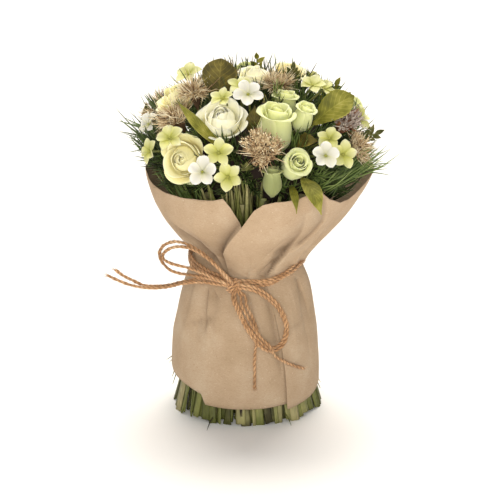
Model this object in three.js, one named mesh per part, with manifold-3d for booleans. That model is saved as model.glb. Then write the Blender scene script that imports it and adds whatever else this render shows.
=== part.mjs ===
// A dried flower bouquet: a sheaf of cut green stems that stands on its splayed foot, a dome of
// roses, buds, small blossoms, seed heads, leaves and needle grass, wrapped in kraft paper and
// tied at the waist with jute twine.
// Millimetres, +Z up, front towards -Y. The origin is the middle of the cut stem ends.
import * as THREE from 'three';
import { mergeVertices } from 'three/addons/utils/BufferGeometryUtils.js';
import Module from 'manifold-3d';

const wasm = await Module();
wasm.setup();

// Driving dimensions.
const FOOT_RADIUS = 60;
const SHEAF_TOP = 166.7;
const PAPER_NECK_RADIUS = 44;
const PAPER_THICKNESS = 1.0;
const PAPER_LAP_GAP = 2.2;
const TWINE_DIAMETER = 2.4;
const TWINE_PAIR_DIAMETER = 4.6;
const BLADE_THICKNESS = 0.8;
const STALK_RADIUS = 1.2;
const STALK_SIDES = 3;
const STALK_DEPTH = 7;
const CLEARANCE = 0.4;
const WELD = 0.02;
const DOME = { centre: new THREE.Vector3(7, 0, 206), across: 92, high: 70 };
const CORE = { centre: new THREE.Vector3(7, 0, 206), across: 60, high: 43, bottom: 172 };

const COLOURS = {
  paper: 0xc9ab86, twine: 0xb9783f, stems: 0x7f9a4e, foliage: 0x3d4f26, cream: 0xf2edc8,
  ivory: 0xefe3b4, lime: 0xc3d382, blossom: 0xdbe08a, white: 0xf1f1ea, seed: 0xa98a72,
  leaf: 0x6d6a2c, olive: 0x8b8a3c, sprig: 0x6a6236,
};

// ---------------------------------------------------------------- helpers
const UP = new THREE.Vector3(0, 0, 1);
const ALONG_ROD = new THREE.Vector3(0, 1, 0);
const degrees = THREE.MathUtils.degToRad;
const vector = ([x, y, z]) => new THREE.Vector3(x, y, z);

function seeded(seed) {
  let state = seed;
  return (low, high) => {
    state = (state * 1664525 + 1013904223) % 4294967296;
    return low + (high - low) * state / 4294967296;
  };
}

// A value that changes smoothly round the object, through its front, right, back and left values.
function around(azimuth, [front, right, back, left]) {
  const angle = degrees(azimuth);
  const middle = (front + right + back + left) / 4;
  const cross = (front + back - right - left) / 4;
  return middle + (front - back) / 2 * Math.cos(angle) + (right - left) / 2 * Math.sin(angle)
    + cross * Math.cos(2 * angle);
}

// A value read off a line through [place, value] pairs.
function along(table, place) {
  const last = table.length - 1;
  if (place <= table[0][0]) return table[0][1];
  if (place >= table[last][0]) return table[last][1];
  const next = table.findIndex(([at]) => at > place);
  const [from, low] = table[next - 1];
  const [to, high] = table[next];
  return low + (high - low) * (place - from) / (to - from);
}

function polarPoint(azimuth, radius, height) {
  const angle = degrees(azimuth);
  return new THREE.Vector3(radius * Math.sin(angle), -radius * Math.cos(angle), height);
}

// A closed sheet about the middle surface middle(u, v); both faces carry the same triangles.
function sheet(across, rise, middle, thickness) {
  const columns = across + 1;
  const count = columns * (rise + 1);
  const point = (i, j) => middle(i / across, j / rise);
  const positions = new Float32Array(count * 6);
  for (let j = 0; j <= rise; j += 1) {
    for (let i = 0; i <= across; i += 1) {
      const du = point(Math.min(i + 1, across), j).sub(point(Math.max(i - 1, 0), j));
      const dv = point(i, Math.min(j + 1, rise)).sub(point(i, Math.max(j - 1, 0)));
      const half = du.cross(dv).normalize().multiplyScalar(thickness / 2);
      const index = j * columns + i;
      point(i, j).add(half).toArray(positions, index * 3);
      point(i, j).sub(half).toArray(positions, (count + index) * 3);
    }
  }
  const faces = [];
  for (let j = 0; j < rise; j += 1) {
    for (let i = 0; i < across; i += 1) {
      const a = j * columns + i;
      const [b, c, d] = [a + 1, a + columns, a + columns + 1];
      faces.push(a, b, d, a, d, c, count + a, count + d, count + b, count + a, count + c, count + d);
    }
  }
  const border = [];
  for (let i = 0; i < across; i += 1) border.push(i);
  for (let j = 0; j < rise; j += 1) border.push(j * columns + across);
  for (let i = across; i > 0; i -= 1) border.push(rise * columns + i);
  for (let j = rise; j > 0; j -= 1) border.push(j * columns);
  border.forEach((p, k) => {
    const q = border[(k + 1) % border.length];
    faces.push(p, count + p, count + q, p, count + q, q);
  });
  const geometry = new THREE.BufferGeometry();
  geometry.setAttribute('position', new THREE.BufferAttribute(positions, 3));
  geometry.setIndex(faces);
  return geometry;
}

// A round rod of flat sides from one point to another, tapering if its two radii differ.
function rod(from, to, radius, sides, endRadius = radius) {
  const axis = to.clone().sub(from);
  const turn = new THREE.Quaternion().setFromUnitVectors(ALONG_ROD, axis.clone().normalize());
  const middle = from.clone().lerp(to, 0.5).toArray();
  return new THREE.CylinderGeometry(endRadius, radius, axis.length(), sides)
    .applyQuaternion(turn).translate(...middle);
}

// A three-sided spike from its root to its tip.
function spike(root, tip, radius) {
  return rod(root, tip, radius, 3, 0);
}

function turned(profile, sides) {
  const points = profile.map(([radius, height]) => new THREE.Vector2(radius, height));
  return new THREE.LatheGeometry(points, sides).rotateX(Math.PI / 2);
}

function solid(geometry) {
  const bare = geometry.clone();
  bare.deleteAttribute('normal');
  bare.deleteAttribute('uv');
  const merged = mergeVertices(bare, 1e-4);
  return new wasm.Manifold(new wasm.Mesh({
    numProp: 3,
    vertProperties: new Float32Array(merged.attributes.position.array),
    triVerts: new Uint32Array(merged.index.array),
  }));
}

// Joins overlapping closed geometries into one body and leaves out any loose scrap.
function fused(geometries, holes = []) {
  let body = geometries.map(solid).reduce((whole, piece) => whole.add(piece));
  holes.forEach((hole) => { body = body.subtract(solid(hole)); });
  const pieces = body.decompose().sort((a, b) => b.volume() - a.volume());
  const mesh = pieces[0].asOriginal().simplify(WELD).getMesh();
  const geometry = new THREE.BufferGeometry();
  geometry.setAttribute('position', new THREE.BufferAttribute(mesh.vertProperties, 3));
  geometry.setIndex(new THREE.BufferAttribute(mesh.triVerts, 1));
  return geometry;
}

const bouquet = new THREE.Group();

function addNode(name, geometry, colour, roughness = 0.85) {
  const material = new THREE.MeshStandardMaterial({ color: colour, roughness, metalness: 0 });
  const mesh = new THREE.Mesh(geometry, material);
  mesh.name = name;
  bouquet.add(mesh);
  return mesh;
}

// ---------------------------------------------------------------- kraft paper
// One sheet rolled once round the sheaf. It necks in at the tie, swells into a skirt below and
// opens into a bowl above. Its outer free edge lies in front, over its inner one.
const NECK_HEIGHT = [116, 119, 121, 125];
const NECK_HALF_HEIGHT = 6;
const NECK_ROW_OFFSET = 5.2;
const BOWL_DEPTH = [42, 61, 48, 37];
const BOWL_REACH = [36, 36, 38, 28];
const BOWL_POWER = [1.5, 1.5, 1.5, 1.25];
const SKIRT_SWELL = [14, 14.5, 15, 19];
const SKIRT_REACH = 32;
const OUTER_EDGE = [[12, 33], [45, 31], [70, 28], [94, 24], [112, 20], [128, -19], [143, -18],
  [156, -11], [170, -3], [186, 4]];
const INNER_EDGE = [[12, 420], [60, 418], [95, 405], [115, 385], [130, 375], [150, 366], [170, 357],
  [178, 354], [186, 351], [193, 347]];
const TOP_EDGE = [[4, 186], [8, 191], [14, 193.5], [25, 193.5], [35, 199], [42, 190], [52, 184], [60, 183],
  [70, 191], [82, 198], [120, 197], [160, 200], [210, 196], [250, 199], [282, 198], [292, 191],
  [305, 189], [330, 189], [340, 191], [347, 193]];
const BOTTOM_EDGE = [[33, 12], [46, 14], [60, 16], [75, 19], [90, 23], [130, 20], [180, 23], [230, 26],
  [262, 40], [285, 32], [308, 28], [323, 24], [326, 16], [345, 15], [375, 15], [393, 16], [420, 18]];
// Folds that run from the tie: azimuth at the tie, drift in degrees per mm, depth, width in
// degrees, and how far they reach up and down.
const PLEATS = [
  { at: -24, drift: -0.55, depth: 4.5, width: 7, up: 46, down: 0 },
  { at: 22, drift: 0.22, depth: 4.0, width: 6, up: 44, down: 0 },
  { at: 3, drift: -0.1, depth: 2.0, width: 5, up: 0, down: 40 },
  { at: -42, drift: 0.1, depth: 2.0, width: 6, up: 0, down: 55 },
  { at: 66, drift: 0.1, depth: 2.5, width: 8, up: 48, down: 60 },
  { at: 105, drift: 0.1, depth: 3.0, width: 9, up: 56, down: 54 },
  { at: 148, drift: -0.1, depth: 3.0, width: 9, up: 50, down: 60 },
  { at: 190, drift: 0.1, depth: 3.0, width: 9, up: 56, down: 54 },
  { at: 232, drift: -0.1, depth: 3.0, width: 9, up: 50, down: 60 },
  { at: 274, drift: 0.1, depth: 2.5, width: 9, up: 48, down: 60 },
];

function neckedRadius(azimuth, height) {
  const offset = height - around(azimuth, NECK_HEIGHT);
  const beyond = Math.max(0, Math.abs(offset) - NECK_HALF_HEIGHT);
  if (offset < 0) {
    return PAPER_NECK_RADIUS + around(azimuth, SKIRT_SWELL) * (1 - Math.exp(-beyond / SKIRT_REACH));
  }
  const opening = (beyond / around(azimuth, BOWL_REACH)) ** around(azimuth, BOWL_POWER);
  return PAPER_NECK_RADIUS + around(azimuth, BOWL_DEPTH) * (1 - Math.exp(-opening));
}

function pleatDepth(azimuth, height) {
  const offset = height - around(azimuth, NECK_HEIGHT);
  const fold = ({ at, drift, depth, width, up, down }) => {
    const reach = offset > 0 ? offset / up : -offset / down;
    if (!(reach < 1)) return 0;
    const side = ((azimuth - at - drift * offset + 540) % 360) - 180;
    return depth * Math.sin(Math.PI * (0.1 + 0.9 * reach)) * Math.exp(-((side / width) ** 2));
  };
  return PLEATS.reduce((sum, pleat) => sum + fold(pleat), 0);
}

// Rows of faces in the skirt, under the twine and in the bowl; the neck rows follow the tie.
const PAPER_ROWS = { skirt: 4, neck: 1, bowl: 6 };
const PAPER_ROW_COUNT = PAPER_ROWS.skirt + PAPER_ROWS.neck + PAPER_ROWS.bowl;
const PAPER_COLUMNS = 50;
// Azimuths of the outer and inner free edges at the top, at the tie and at the foot.
const PAPER_SPAN = { top: [4, 347], tie: [0, 383], foot: [33, 420] };

function paperHeight(u, v) {
  const azimuth = ([outer, inner]) => outer + u * (inner - outer);
  const neck = around(azimuth(PAPER_SPAN.tie), NECK_HEIGHT);
  const row = v * PAPER_ROW_COUNT;
  const neckTop = PAPER_ROWS.skirt + PAPER_ROWS.neck;
  const levels = [[0, along(BOTTOM_EDGE, azimuth(PAPER_SPAN.foot))],
    [PAPER_ROWS.skirt, neck - NECK_ROW_OFFSET], [neckTop, neck + NECK_ROW_OFFSET],
    [PAPER_ROW_COUNT, along(TOP_EDGE, azimuth(PAPER_SPAN.top))]];
  return along(levels, row);
}

function paperPoint(u, v) {
  const height = paperHeight(u, v);
  const start = along(OUTER_EDGE, height);
  const azimuth = start + u * (along(INNER_EDGE, height) - start);
  const lap = PAPER_LAP_GAP * (1 - THREE.MathUtils.smoothstep(u, 0, 0.22));
  const radius = neckedRadius(azimuth, height) - pleatDepth(azimuth, height) + lap;
  return polarPoint(azimuth, radius, height);
}

const paper = sheet(PAPER_COLUMNS, PAPER_ROW_COUNT, (u, v) => paperPoint(1 - u, v), PAPER_THICKNESS);
addNode('paper_wrap', paper, COLOURS.paper);

// ---------------------------------------------------------------- sheaf of stems
// Flat cut stems: an hourglass core, a ring of loose ones at the foot and one under the flowers.
const SHEAF_PROFILE = [[0, 2.5], [51, 2.5], [49, 35], [38, 105], [37.5, 130], [34, 150],
  [24, SHEAF_TOP], [0, SHEAF_TOP]];
const FOOT_STEMS = { count: 33, width: 7.4, thickness: 2.6, height: 46, root: 46.6 };
const UNDER_STEMS = [{ ring: 0, count: 1, radius: 8 }, { ring: 19, count: 6, radius: 4.5 },
  { ring: 38, count: 12, radius: 4.5 }];
const UNDER_HEIGHT = 4;
const TOP_STEMS = { count: 25, width: 4, thickness: 1.6, foot: 138, root: 34, height: 184 };

function footStem(azimuth, draw) {
  const cut = draw(0, 1) < 0.5 ? 0 : draw(0, 3);
  const lean = draw(-3, 3);
  const width = FOOT_STEMS.width * draw(0.75, 1.15);
  return sheet(1, 1, (u, v) => {
    const height = cut + v * FOOT_STEMS.height;
    const radius = THREE.MathUtils.lerp(FOOT_RADIUS - FOOT_STEMS.thickness / 2, FOOT_STEMS.root, v);
    const turn = azimuth + lean * (1 - v) + THREE.MathUtils.radToDeg((u - 0.5) * width / radius);
    return polarPoint(turn, radius, height);
  }, FOOT_STEMS.thickness);
}

function sheaf() {
  const draw = seeded(11);
  const pieces = [turned(SHEAF_PROFILE, 18)];
  for (let k = 0; k < FOOT_STEMS.count; k += 1) {
    pieces.push(footStem((k + draw(-0.2, 0.2)) * 360 / FOOT_STEMS.count, draw));
  }
  UNDER_STEMS.forEach(({ ring, count, radius }) => {
    for (let k = 0; k < count; k += 1) {
      const foot = polarPoint(k * 360 / count, ring, 0);
      pieces.push(rod(foot, foot.clone().setZ(UNDER_HEIGHT), radius, 5));
    }
  });
  for (let k = 0; k < TOP_STEMS.count; k += 1) {
    const azimuth = (k + draw(-0.3, 0.3)) * 360 / TOP_STEMS.count;
    const top = TOP_STEMS.height + draw(-5, 4);
    const reach = draw(64, 67);
    const twist = draw(-4, 4);
    pieces.push(sheet(1, 1, (u, v) => {
      const radius = THREE.MathUtils.lerp(TOP_STEMS.root, reach, v);
      const turn = azimuth + twist * v + THREE.MathUtils.radToDeg((u - 0.5) * TOP_STEMS.width / radius);
      return polarPoint(turn, radius, THREE.MathUtils.lerp(TOP_STEMS.foot, top, v));
    }, TOP_STEMS.thickness));
  }
  return fused(pieces);
}

addNode('stem_bundle', sheaf(), COLOURS.stems);

// ---------------------------------------------------------------- twine
// Routes are the middle of each cord, from the knot outwards, in millimetres.
const BAND_RADIUS = PAPER_NECK_RADIUS + PAPER_LAP_GAP + PAPER_THICKNESS / 2 + 2 * CLEARANCE;
const BAND = { sides: 36, section: [[0, -4.2], [2.2, -3.2], [1.4, 0], [2.2, 3.2], [0, 4.2]] };
const KNOT = { centre: [-10.5, -51.5, 115.5], size: [6.3, 4.4, 5.5] };
const CORDS = {
  loop_left_upper: { diameter: TWINE_DIAMETER, steps: 16, route: [
    [-15, -55, 122], [-21, -56, 130], [-28, -56, 138], [-35, -55, 144], [-43, -52, 148],
    [-51, -48, 150], [-58, -44, 149], [-64.5, -40, 145], [-68, -37, 139], [-67.5, -35, 132.5],
    [-64.5, -34, 127], [-59.5, -34, 122.6], [-52, -35, 120.4], [-45, -37, 120], [-38, -41, 120],
    [-29, -47, 120], [-20, -51, 119]] },
  loop_left_lower: { diameter: TWINE_DIAMETER, steps: 15, route: [
    [-12, -59, 121], [-18, -61, 129], [-26, -61, 137], [-34.5, -59, 143.5], [-43, -56, 147.2],
    [-50, -52, 147.6], [-56, -48, 146], [-61, -44, 143], [-65, -41.3, 138.5], [-65, -40, 134],
    [-60, -40.5, 130.8], [-52.5, -42, 129], [-45.5, -45, 128.2], [-39, -48.5, 127],
    [-30.5, -53, 125], [-19, -57, 120.5]] },
  loop_right: { diameter: TWINE_PAIR_DIAMETER, steps: 14, route: [
    [-1, -53, 115], [6, -52, 113], [13, -51, 109], [19, -50.5, 104], [25, -50, 97],
    [29, -50, 89], [31, -50, 81], [30, -52, 73], [26, -54, 67], [20, -57, 65], [14, -60.5, 68],
    [8, -61.5, 74], [2, -61.5, 82], [-4, -59, 92], [-8, -57, 101], [-10, -56, 106]] },
  tail_left_long: { diameter: TWINE_DIAMETER, steps: 10, route: [
    [-18.3, -50.3, 115.8], [-24, -48, 116], [-30, -45, 116], [-37, -41.2, 115.4],
    [-44.5, -37.6, 113.9], [-52.6, -34, 111.4], [-61.4, -30.5, 108.3], [-70.2, -27, 105.9],
    [-78.3, -24.5, 105.2], [-88.7, -22, 105.8], [-99.4, -18, 108], [-111, -14, 112.2]] },
  tail_left_short: { diameter: TWINE_DIAMETER, steps: 9, route: [
    [-18.3, -47.9, 117.4], [-24, -45.4, 117.8], [-30, -42, 117.8], [-37, -38.2, 117],
    [-44.5, -34.6, 114.8], [-52.5, -30.9, 111.8], [-60.6, -27.6, 108.8], [-68.6, -24.2, 106.6],
    [-75.7, -21.6, 105.8], [-83.2, -19.6, 106.2], [-92, -19.8, 110.6], [-98.2, -21, 114.4],
    [-104, -22, 119.3]] },
  tail_right_long: { diameter: TWINE_DIAMETER, steps: 9, route: [
    [-5, -54.5, 108], [-4, -57.9, 102], [0.6, -60.2, 93], [5.6, -61.7, 84], [11.7, -62.4, 76],
    [18, -63.5, 70], [22, -60, 61], [27, -56, 56], [32, -52, 52], [39, -46, 47], [45, -40, 43]] },
  tail_right_hanging: { diameter: TWINE_DIAMETER, steps: 7, route: [
    [-1.5, -53.5, 107.5], [-0.4, -54.8, 101], [3.4, -56.2, 93], [6.6, -56.8, 85],
    [8.2, -56.8, 78], [8, -56.4, 71.5], [6.5, -57.5, 65], [6, -59.5, 57], [6, -60.5, 47],
    [6, -60.5, 40], [6, -60.5, 34]] },
};

function cordTube({ diameter, steps, route }) {
  const curve = new THREE.CatmullRomCurve3(route.map(vector), false, 'centripetal');
  const section = new THREE.Shape();
  for (let k = 0; k < 8; k += 1) {
    const angle = (k + 0.5) * Math.PI / 4;
    const [x, y] = [Math.cos(angle) * diameter / 2, Math.sin(angle) * diameter / 2];
    if (k === 0) section.moveTo(x, y); else section.lineTo(x, y);
  }
  section.closePath();
  return new THREE.ExtrudeGeometry(section, { steps, extrudePath: curve, bevelEnabled: false });
}

// The band: turns of twine side by side, pressed round the paper's neck, with a ridge at each edge.
function twineBand() {
  const { sides, section } = BAND;
  const positions = [];
  const faces = [];
  for (let k = 0; k < sides; k += 1) {
    const azimuth = k * 360 / sides;
    const middle = around(azimuth, NECK_HEIGHT);
    section.forEach(([out, up]) => {
      positions.push(...polarPoint(azimuth, BAND_RADIUS + out, middle + up).toArray());
    });
    for (let j = 0; j < section.length; j += 1) {
      const [a, b] = [k * section.length + j, k * section.length + (j + 1) % section.length];
      const [c, d] = [a, b].map((index) => (index + section.length) % (sides * section.length));
      faces.push(a, c, d, a, d, b);
    }
  }
  const geometry = new THREE.BufferGeometry();
  geometry.setAttribute('position', new THREE.Float32BufferAttribute(positions, 3));
  geometry.setIndex(faces);
  return geometry;
}

const knot = new THREE.SphereGeometry(1, 8, 6).scale(...KNOT.size).translate(...KNOT.centre);
addNode('twine_tie', fused([twineBand(), knot]), COLOURS.twine, 0.9);
Object.entries(CORDS).forEach(([name, cord]) => addNode(name, cordTube(cord), COLOURS.twine, 0.9));

// ---------------------------------------------------------------- places on the dome
// Every head stands on the dome by its azimuth, its angle from the top and its lift; face is the
// way that it looks. Its stalk runs from under the head into a plain hole in the foliage core.
const holes = [];
const keepOuts = [];

function domePlace([azimuth, polar, lift]) {
  const angle = degrees(polar);
  const flat = polarPoint(azimuth, Math.sin(angle), 0);
  const normal = flat.clone().divideScalar(DOME.across).setZ(Math.cos(angle) / DOME.high).normalize();
  const surface = flat.multiplyScalar(DOME.across).setZ(DOME.high * Math.cos(angle));
  return surface.add(DOME.centre).addScaledVector(normal, lift);
}

function coreRoot(point) {
  const out = point.clone().sub(CORE.centre);
  const scaled = Math.hypot(out.x / CORE.across, out.y / CORE.across, out.z / CORE.high);
  const reach = out.length() / scaled - STALK_DEPTH;
  return CORE.centre.clone().addScaledVector(out.normalize(), reach);
}

function stalk(root, neck) {
  const deeper = root.clone().addScaledVector(root.clone().sub(neck).normalize(), CLEARANCE);
  holes.push(rod(deeper, neck, STALK_RADIUS + 2 * CLEARANCE, STALK_SIDES));
  return rod(root, neck, STALK_RADIUS, STALK_SIDES);
}

function headTurn(face, spin = 0) {
  const aim = new THREE.Quaternion().setFromUnitVectors(UP, vector(face).normalize());
  return aim.multiply(new THREE.Quaternion().setFromAxisAngle(UP, degrees(spin)));
}

// Puts the pieces of a head in place: geometries about its middle, looking along +Z.
function headPieces({ at, face, spin }, pieces, neckDepth) {
  const place = domePlace(at);
  const turn = headTurn(face, spin);
  const neck = new THREE.Vector3(0, 0, -neckDepth).applyQuaternion(turn).add(place);
  const placed = pieces.map((piece) => piece.applyQuaternion(turn).translate(...place.toArray()));
  return { placed, neck, place };
}

function addHead(name, spec, pieces, neckDepth, size, colour) {
  const { placed, neck, place } = headPieces(spec, pieces, neckDepth);
  keepOuts.push({ place, size });
  const inside = neck.clone().lerp(place, 0.25);
  addNode(name, fused([...placed, stalk(coreRoot(neck), inside)]), COLOURS[colour]);
}

// ---------------------------------------------------------------- roses and buds
// A petal stands round the head's axis: narrow root, wide belly, rounded rim. Its two sides lie at
// different depths, so that neighbours overlap like a fan and never cross.
function petal({ turn, span, radius, low, high, flare }) {
  const lap = 1.3;
  return sheet(2, 2, (u, v) => {
    const side = 2 * u - 1;
    const width = span / 2 * (0.6 + 0.4 * Math.sin(Math.PI * (0.12 + 0.76 * v)));
    const angle = degrees(turn + side * width);
    const out = radius * Math.sin(Math.PI / 2 * Math.min(1, 0.42 + 0.7 * v)) + flare * v * v;
    const up = low + (high - low) * v * (1 - 0.2 * side * side);
    const reach = out + lap * side;
    return new THREE.Vector3(reach * Math.cos(angle), reach * Math.sin(angle), up);
  }, BLADE_THICKNESS);
}

function petalRing(count, shape, offset = 0) {
  return Array.from({ length: count }, (_, k) => petal({ ...shape, turn: offset + k * 360 / count }));
}

function rosePieces(radius) {
  const r = radius / 22;
  const heart = [[0, -15 * r], [10.5 * r, -9 * r], [10.5 * r, 3 * r], [4.5 * r, 9.5 * r], [0, 6 * r]];
  return [turned(heart, 7),
    ...petalRing(3, { span: 140, radius: 14 * r, low: -7 * r, high: 9 * r, flare: -1.5 * r }),
    ...petalRing(5, { span: 94, radius: 18 * r, low: -12 * r, high: 6 * r, flare: 3 * r }, 30)];
}

function budPieces(radius, length) {
  const half = length / 2;
  const body = [[0, -half], [0.75 * radius, -0.75 * half], [0.95 * radius, -0.2 * half],
    [0.5 * radius, 0.6 * half], [0.25 * radius, 0.95 * half], [0, 0.8 * half]];
  return [turned(body, 7),
    ...petalRing(3, { span: 118, radius: 0.74 * radius, low: 0, high: half, flare: 0.3 * radius })];
}

const ROSES = [
  { at: [-43, 77, -10], face: [-0.3, -0.9, 0.3], radius: 18.5 },
  { at: [-27, 44, -12], face: [-0.05, -0.6, 0.8], radius: 20 },
  { at: [-26, 3, -4], face: [0.05, -0.2, 0.98], radius: 12.5 },
  { at: [-85, 44, -3], face: [-0.35, -0.3, 0.88], spin: 11, radius: 17 },
  { at: [99, 17, 0], face: [0.2, -0.3, 0.93], radius: 12 },
  { at: [165, 62, -11], face: [0.2, 0.85, 0.5], radius: 20 },
  { at: [-142, 58, -11], face: [-0.5, 0.75, 0.5], radius: 19 },
];
ROSES.forEach((spec, k) => {
  const colour = k === 4 ? 'ivory' : 'cream';
  addHead(`rose_${k + 1}`, spec, rosePieces(spec.radius), 0.62 * spec.radius, 0.95 * spec.radius, colour);
});

const BUDS = [
  { at: [12, 52, -9], face: [0.1, -0.28, 0.95], radius: 14, length: 44 },
  { at: [33, 30, -15], face: [0.1, -0.1, 0.99], radius: 10, length: 28 },
  { at: [31, 49, -2], face: [0.3, -0.3, 0.9], radius: 8, length: 26 },
  { at: [20, 78, -6], face: [0.3, -0.78, 0.55], radius: 10.5, length: 25 },
  { at: [8, 88, -6], face: [0, -0.05, 0.99], radius: 7.5, length: 24 },
  { at: [110, 62, -9], face: [0.75, 0.3, 0.6], radius: 13, length: 36 },
  { at: [-172, 38, -9], face: [0, 0.4, 0.92], radius: 13, length: 36 },
];
BUDS.forEach((spec, k) => {
  addHead(`bud_${k + 1}`, spec, budPieces(spec.radius, spec.length), 0.4 * spec.length, spec.radius, 'lime');
});

// ---------------------------------------------------------------- small blossoms
// Five flat petals cut from one outline and cupped; the stalk's end stands up as the eye. Heads
// that share a stalk fork in one node.
const BLOSSOM_RADIUS = 11.5;

function blossomPieces(scale = 1) {
  const outline = new THREE.Shape();
  const lobe = [[-36, 0.36], [-15, 0.97], [15, 0.97]];
  for (let k = 0; k < 5; k += 1) {
    lobe.forEach(([offset, reach], j) => {
      const angle = degrees(k * 72 + offset);
      const out = BLOSSOM_RADIUS * scale * reach;
      const [x, y] = [out * Math.cos(angle), out * Math.sin(angle)];
      if (k + j === 0) outline.moveTo(x, y); else outline.lineTo(x, y);
    });
  }
  outline.closePath();
  const petals = new THREE.ExtrudeGeometry(outline, { depth: BLADE_THICKNESS, bevelEnabled: false });
  const { position } = petals.attributes;
  for (let i = 0; i < position.count; i += 1) {
    const out = Math.hypot(position.getX(i), position.getY(i));
    position.setZ(i, position.getZ(i) + 0.024 / scale * out * out);
  }
  return [petals];
}

function addBlossoms(name, colour, heads) {
  const placed = heads.map((spec) => headPieces(spec, blossomPieces(spec.scale), 0));
  const middle = placed.reduce((sum, { neck }) => sum.add(neck), new THREE.Vector3());
  const root = coreRoot(middle.divideScalar(heads.length));
  const pieces = placed.flatMap((head) => {
    const eye = head.neck.clone().addScaledVector(head.neck.clone().sub(root).normalize(), 2);
    return [...head.placed, stalk(root, eye)];
  });
  placed.forEach(({ place }) => keepOuts.push({ place, size: BLOSSOM_RADIUS }));
  addNode(name, fused(pieces), COLOURS[colour]);
}

addBlossoms('blossoms_1', 'blossom', [
  { at: [-62, 78, 1], face: [-0.8, -0.5, 0.3], scale: 0.95 },
  { at: [-49, 67, 1], face: [-0.3, -0.65, 0.7], spin: 20 }]);
addBlossoms('blossoms_2', 'blossom', [
  { at: [-18, 71, 3], face: [-0.1, -0.85, 0.5], spin: 10 },
  { at: [-13, 84, 1], face: [0, -0.95, 0.3], spin: 40 }]);
addBlossoms('blossoms_3', 'blossom', [
  { at: [40, 66, 2], face: [-0.2, -0.7, 0.7], scale: 0.9 },
  { at: [46, 76, 1], face: [0.45, -0.85, 0.25], spin: 30 }]);
addBlossoms('blossoms_4', 'blossom', [
  { at: [64, 31, 1], face: [0.1, -0.45, 0.88], scale: 0.95 },
  { at: [73, 36, 1], face: [0.5, -0.35, 0.8], scale: 0.9 }]);
addBlossoms('blossoms_5', 'blossom', [
  { at: [-17, 26, 1], face: [-0.1, -0.45, 0.9], scale: 0.9 },
  { at: [-28, 36, 0], face: [-0.2, -0.6, 0.78], scale: 0.85 }]);
addBlossoms('blossoms_6', 'blossom', [{ at: [-97, 33, 6], face: [-0.3, -0.55, 0.78] }]);
addBlossoms('blossoms_7', 'blossom', [{ at: [81, 62, 0], face: [0.8, -0.35, 0.45] }]);
addBlossoms('blossoms_8', 'blossom', [
  { at: [140, 46, 2], face: [0.5, 0.5, 0.7] },
  { at: [138, 62, 2], face: [0.6, 0.7, 0.4], spin: 25 }]);
addBlossoms('blossoms_9', 'white', [
  { at: [-77, 65, 1], face: [-0.7, -0.4, 0.55], scale: 0.85 }]);
addBlossoms('blossoms_10', 'white', [{ at: [-23, 82, 11], face: [-0.12, -0.85, 0.5], spin: 8 }]);
addBlossoms('blossoms_11', 'white', [{ at: [-6, 36, 6], face: [0, -0.75, 0.66], spin: 50 }]);
addBlossoms('blossoms_12', 'white', [{ at: [32, 75, 9], face: [0.1, -0.85, 0.5], spin: 20, scale: 0.9 }]);
addBlossoms('blossoms_13', 'white', [{ at: [-165, 75, 2], face: [-0.1, 0.9, 0.4] }]);

// ---------------------------------------------------------------- dried seed heads
// A funnel of stiff bracts and grains: short spikes that stand out all over a small core.
function seedPieces({ radius, height, spikes, fan, seed }) {
  const draw = seeded(seed);
  const core = [[0, -height / 2], [0.62 * radius, 0], [0.45 * radius, 0.22 * height], [0, 0.3 * height]];
  const pieces = [turned(core, 6)];
  for (let k = 0; k < spikes; k += 1) {
    const share = (k + 0.5) / spikes;
    const angle = k * 2.39996;
    const lean = fan * Math.sqrt(share) * Math.PI / 2;
    const length = height / 2 * draw(0.8, 1.1);
    const root = new THREE.Vector3(0.42 * radius * Math.sqrt(share) * Math.cos(angle),
      0.42 * radius * Math.sqrt(share) * Math.sin(angle), -0.12 * height * share);
    const tip = root.clone().add(new THREE.Vector3(Math.sin(lean) * Math.cos(angle),
      Math.sin(lean) * Math.sin(angle), Math.cos(lean)).multiplyScalar(length));
    pieces.push(spike(root, tip, 1.7));
  }
  return pieces;
}

const SEED_HEADS = [
  { at: [-59, 54, -5], face: [-0.5, -0.3, 0.81], radius: 12.5, height: 28 },
  { at: [-61, 36, -2], face: [-0.15, -0.1, 0.98], radius: 9, height: 26 },
  { at: [-58, 15, 0], face: [-0.3, 0, 0.95], radius: 6, height: 18 },
  { at: [3, 70, 2], face: [0, -0.6, 0.8], radius: 16, height: 32 },
  { at: [44, 16, -8], face: [0.04, -0.1, 0.99], radius: 7, height: 22 },
  { at: [57, 59, 1], face: [0.35, -0.5, 0.79], radius: 13, height: 26 },
  { at: [62, 76, -3], face: [0.7, -0.5, 0.5], radius: 9, height: 22 },
  { at: [-108, 60, -4], face: [-0.8, 0.3, 0.5], radius: 15, height: 28 },
];
SEED_HEADS.forEach((spec, k) => {
  const shape = { ...spec, spikes: spec.radius > 12 ? 16 : 10, fan: 0.72, seed: 31 + k };
  addHead(`seed_head_${k + 1}`, spec, seedPieces(shape), 0.45 * spec.height, 0.8 * spec.radius, 'seed');
});

// ---------------------------------------------------------------- leaves
const PETIOLE = 0.26;

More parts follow.
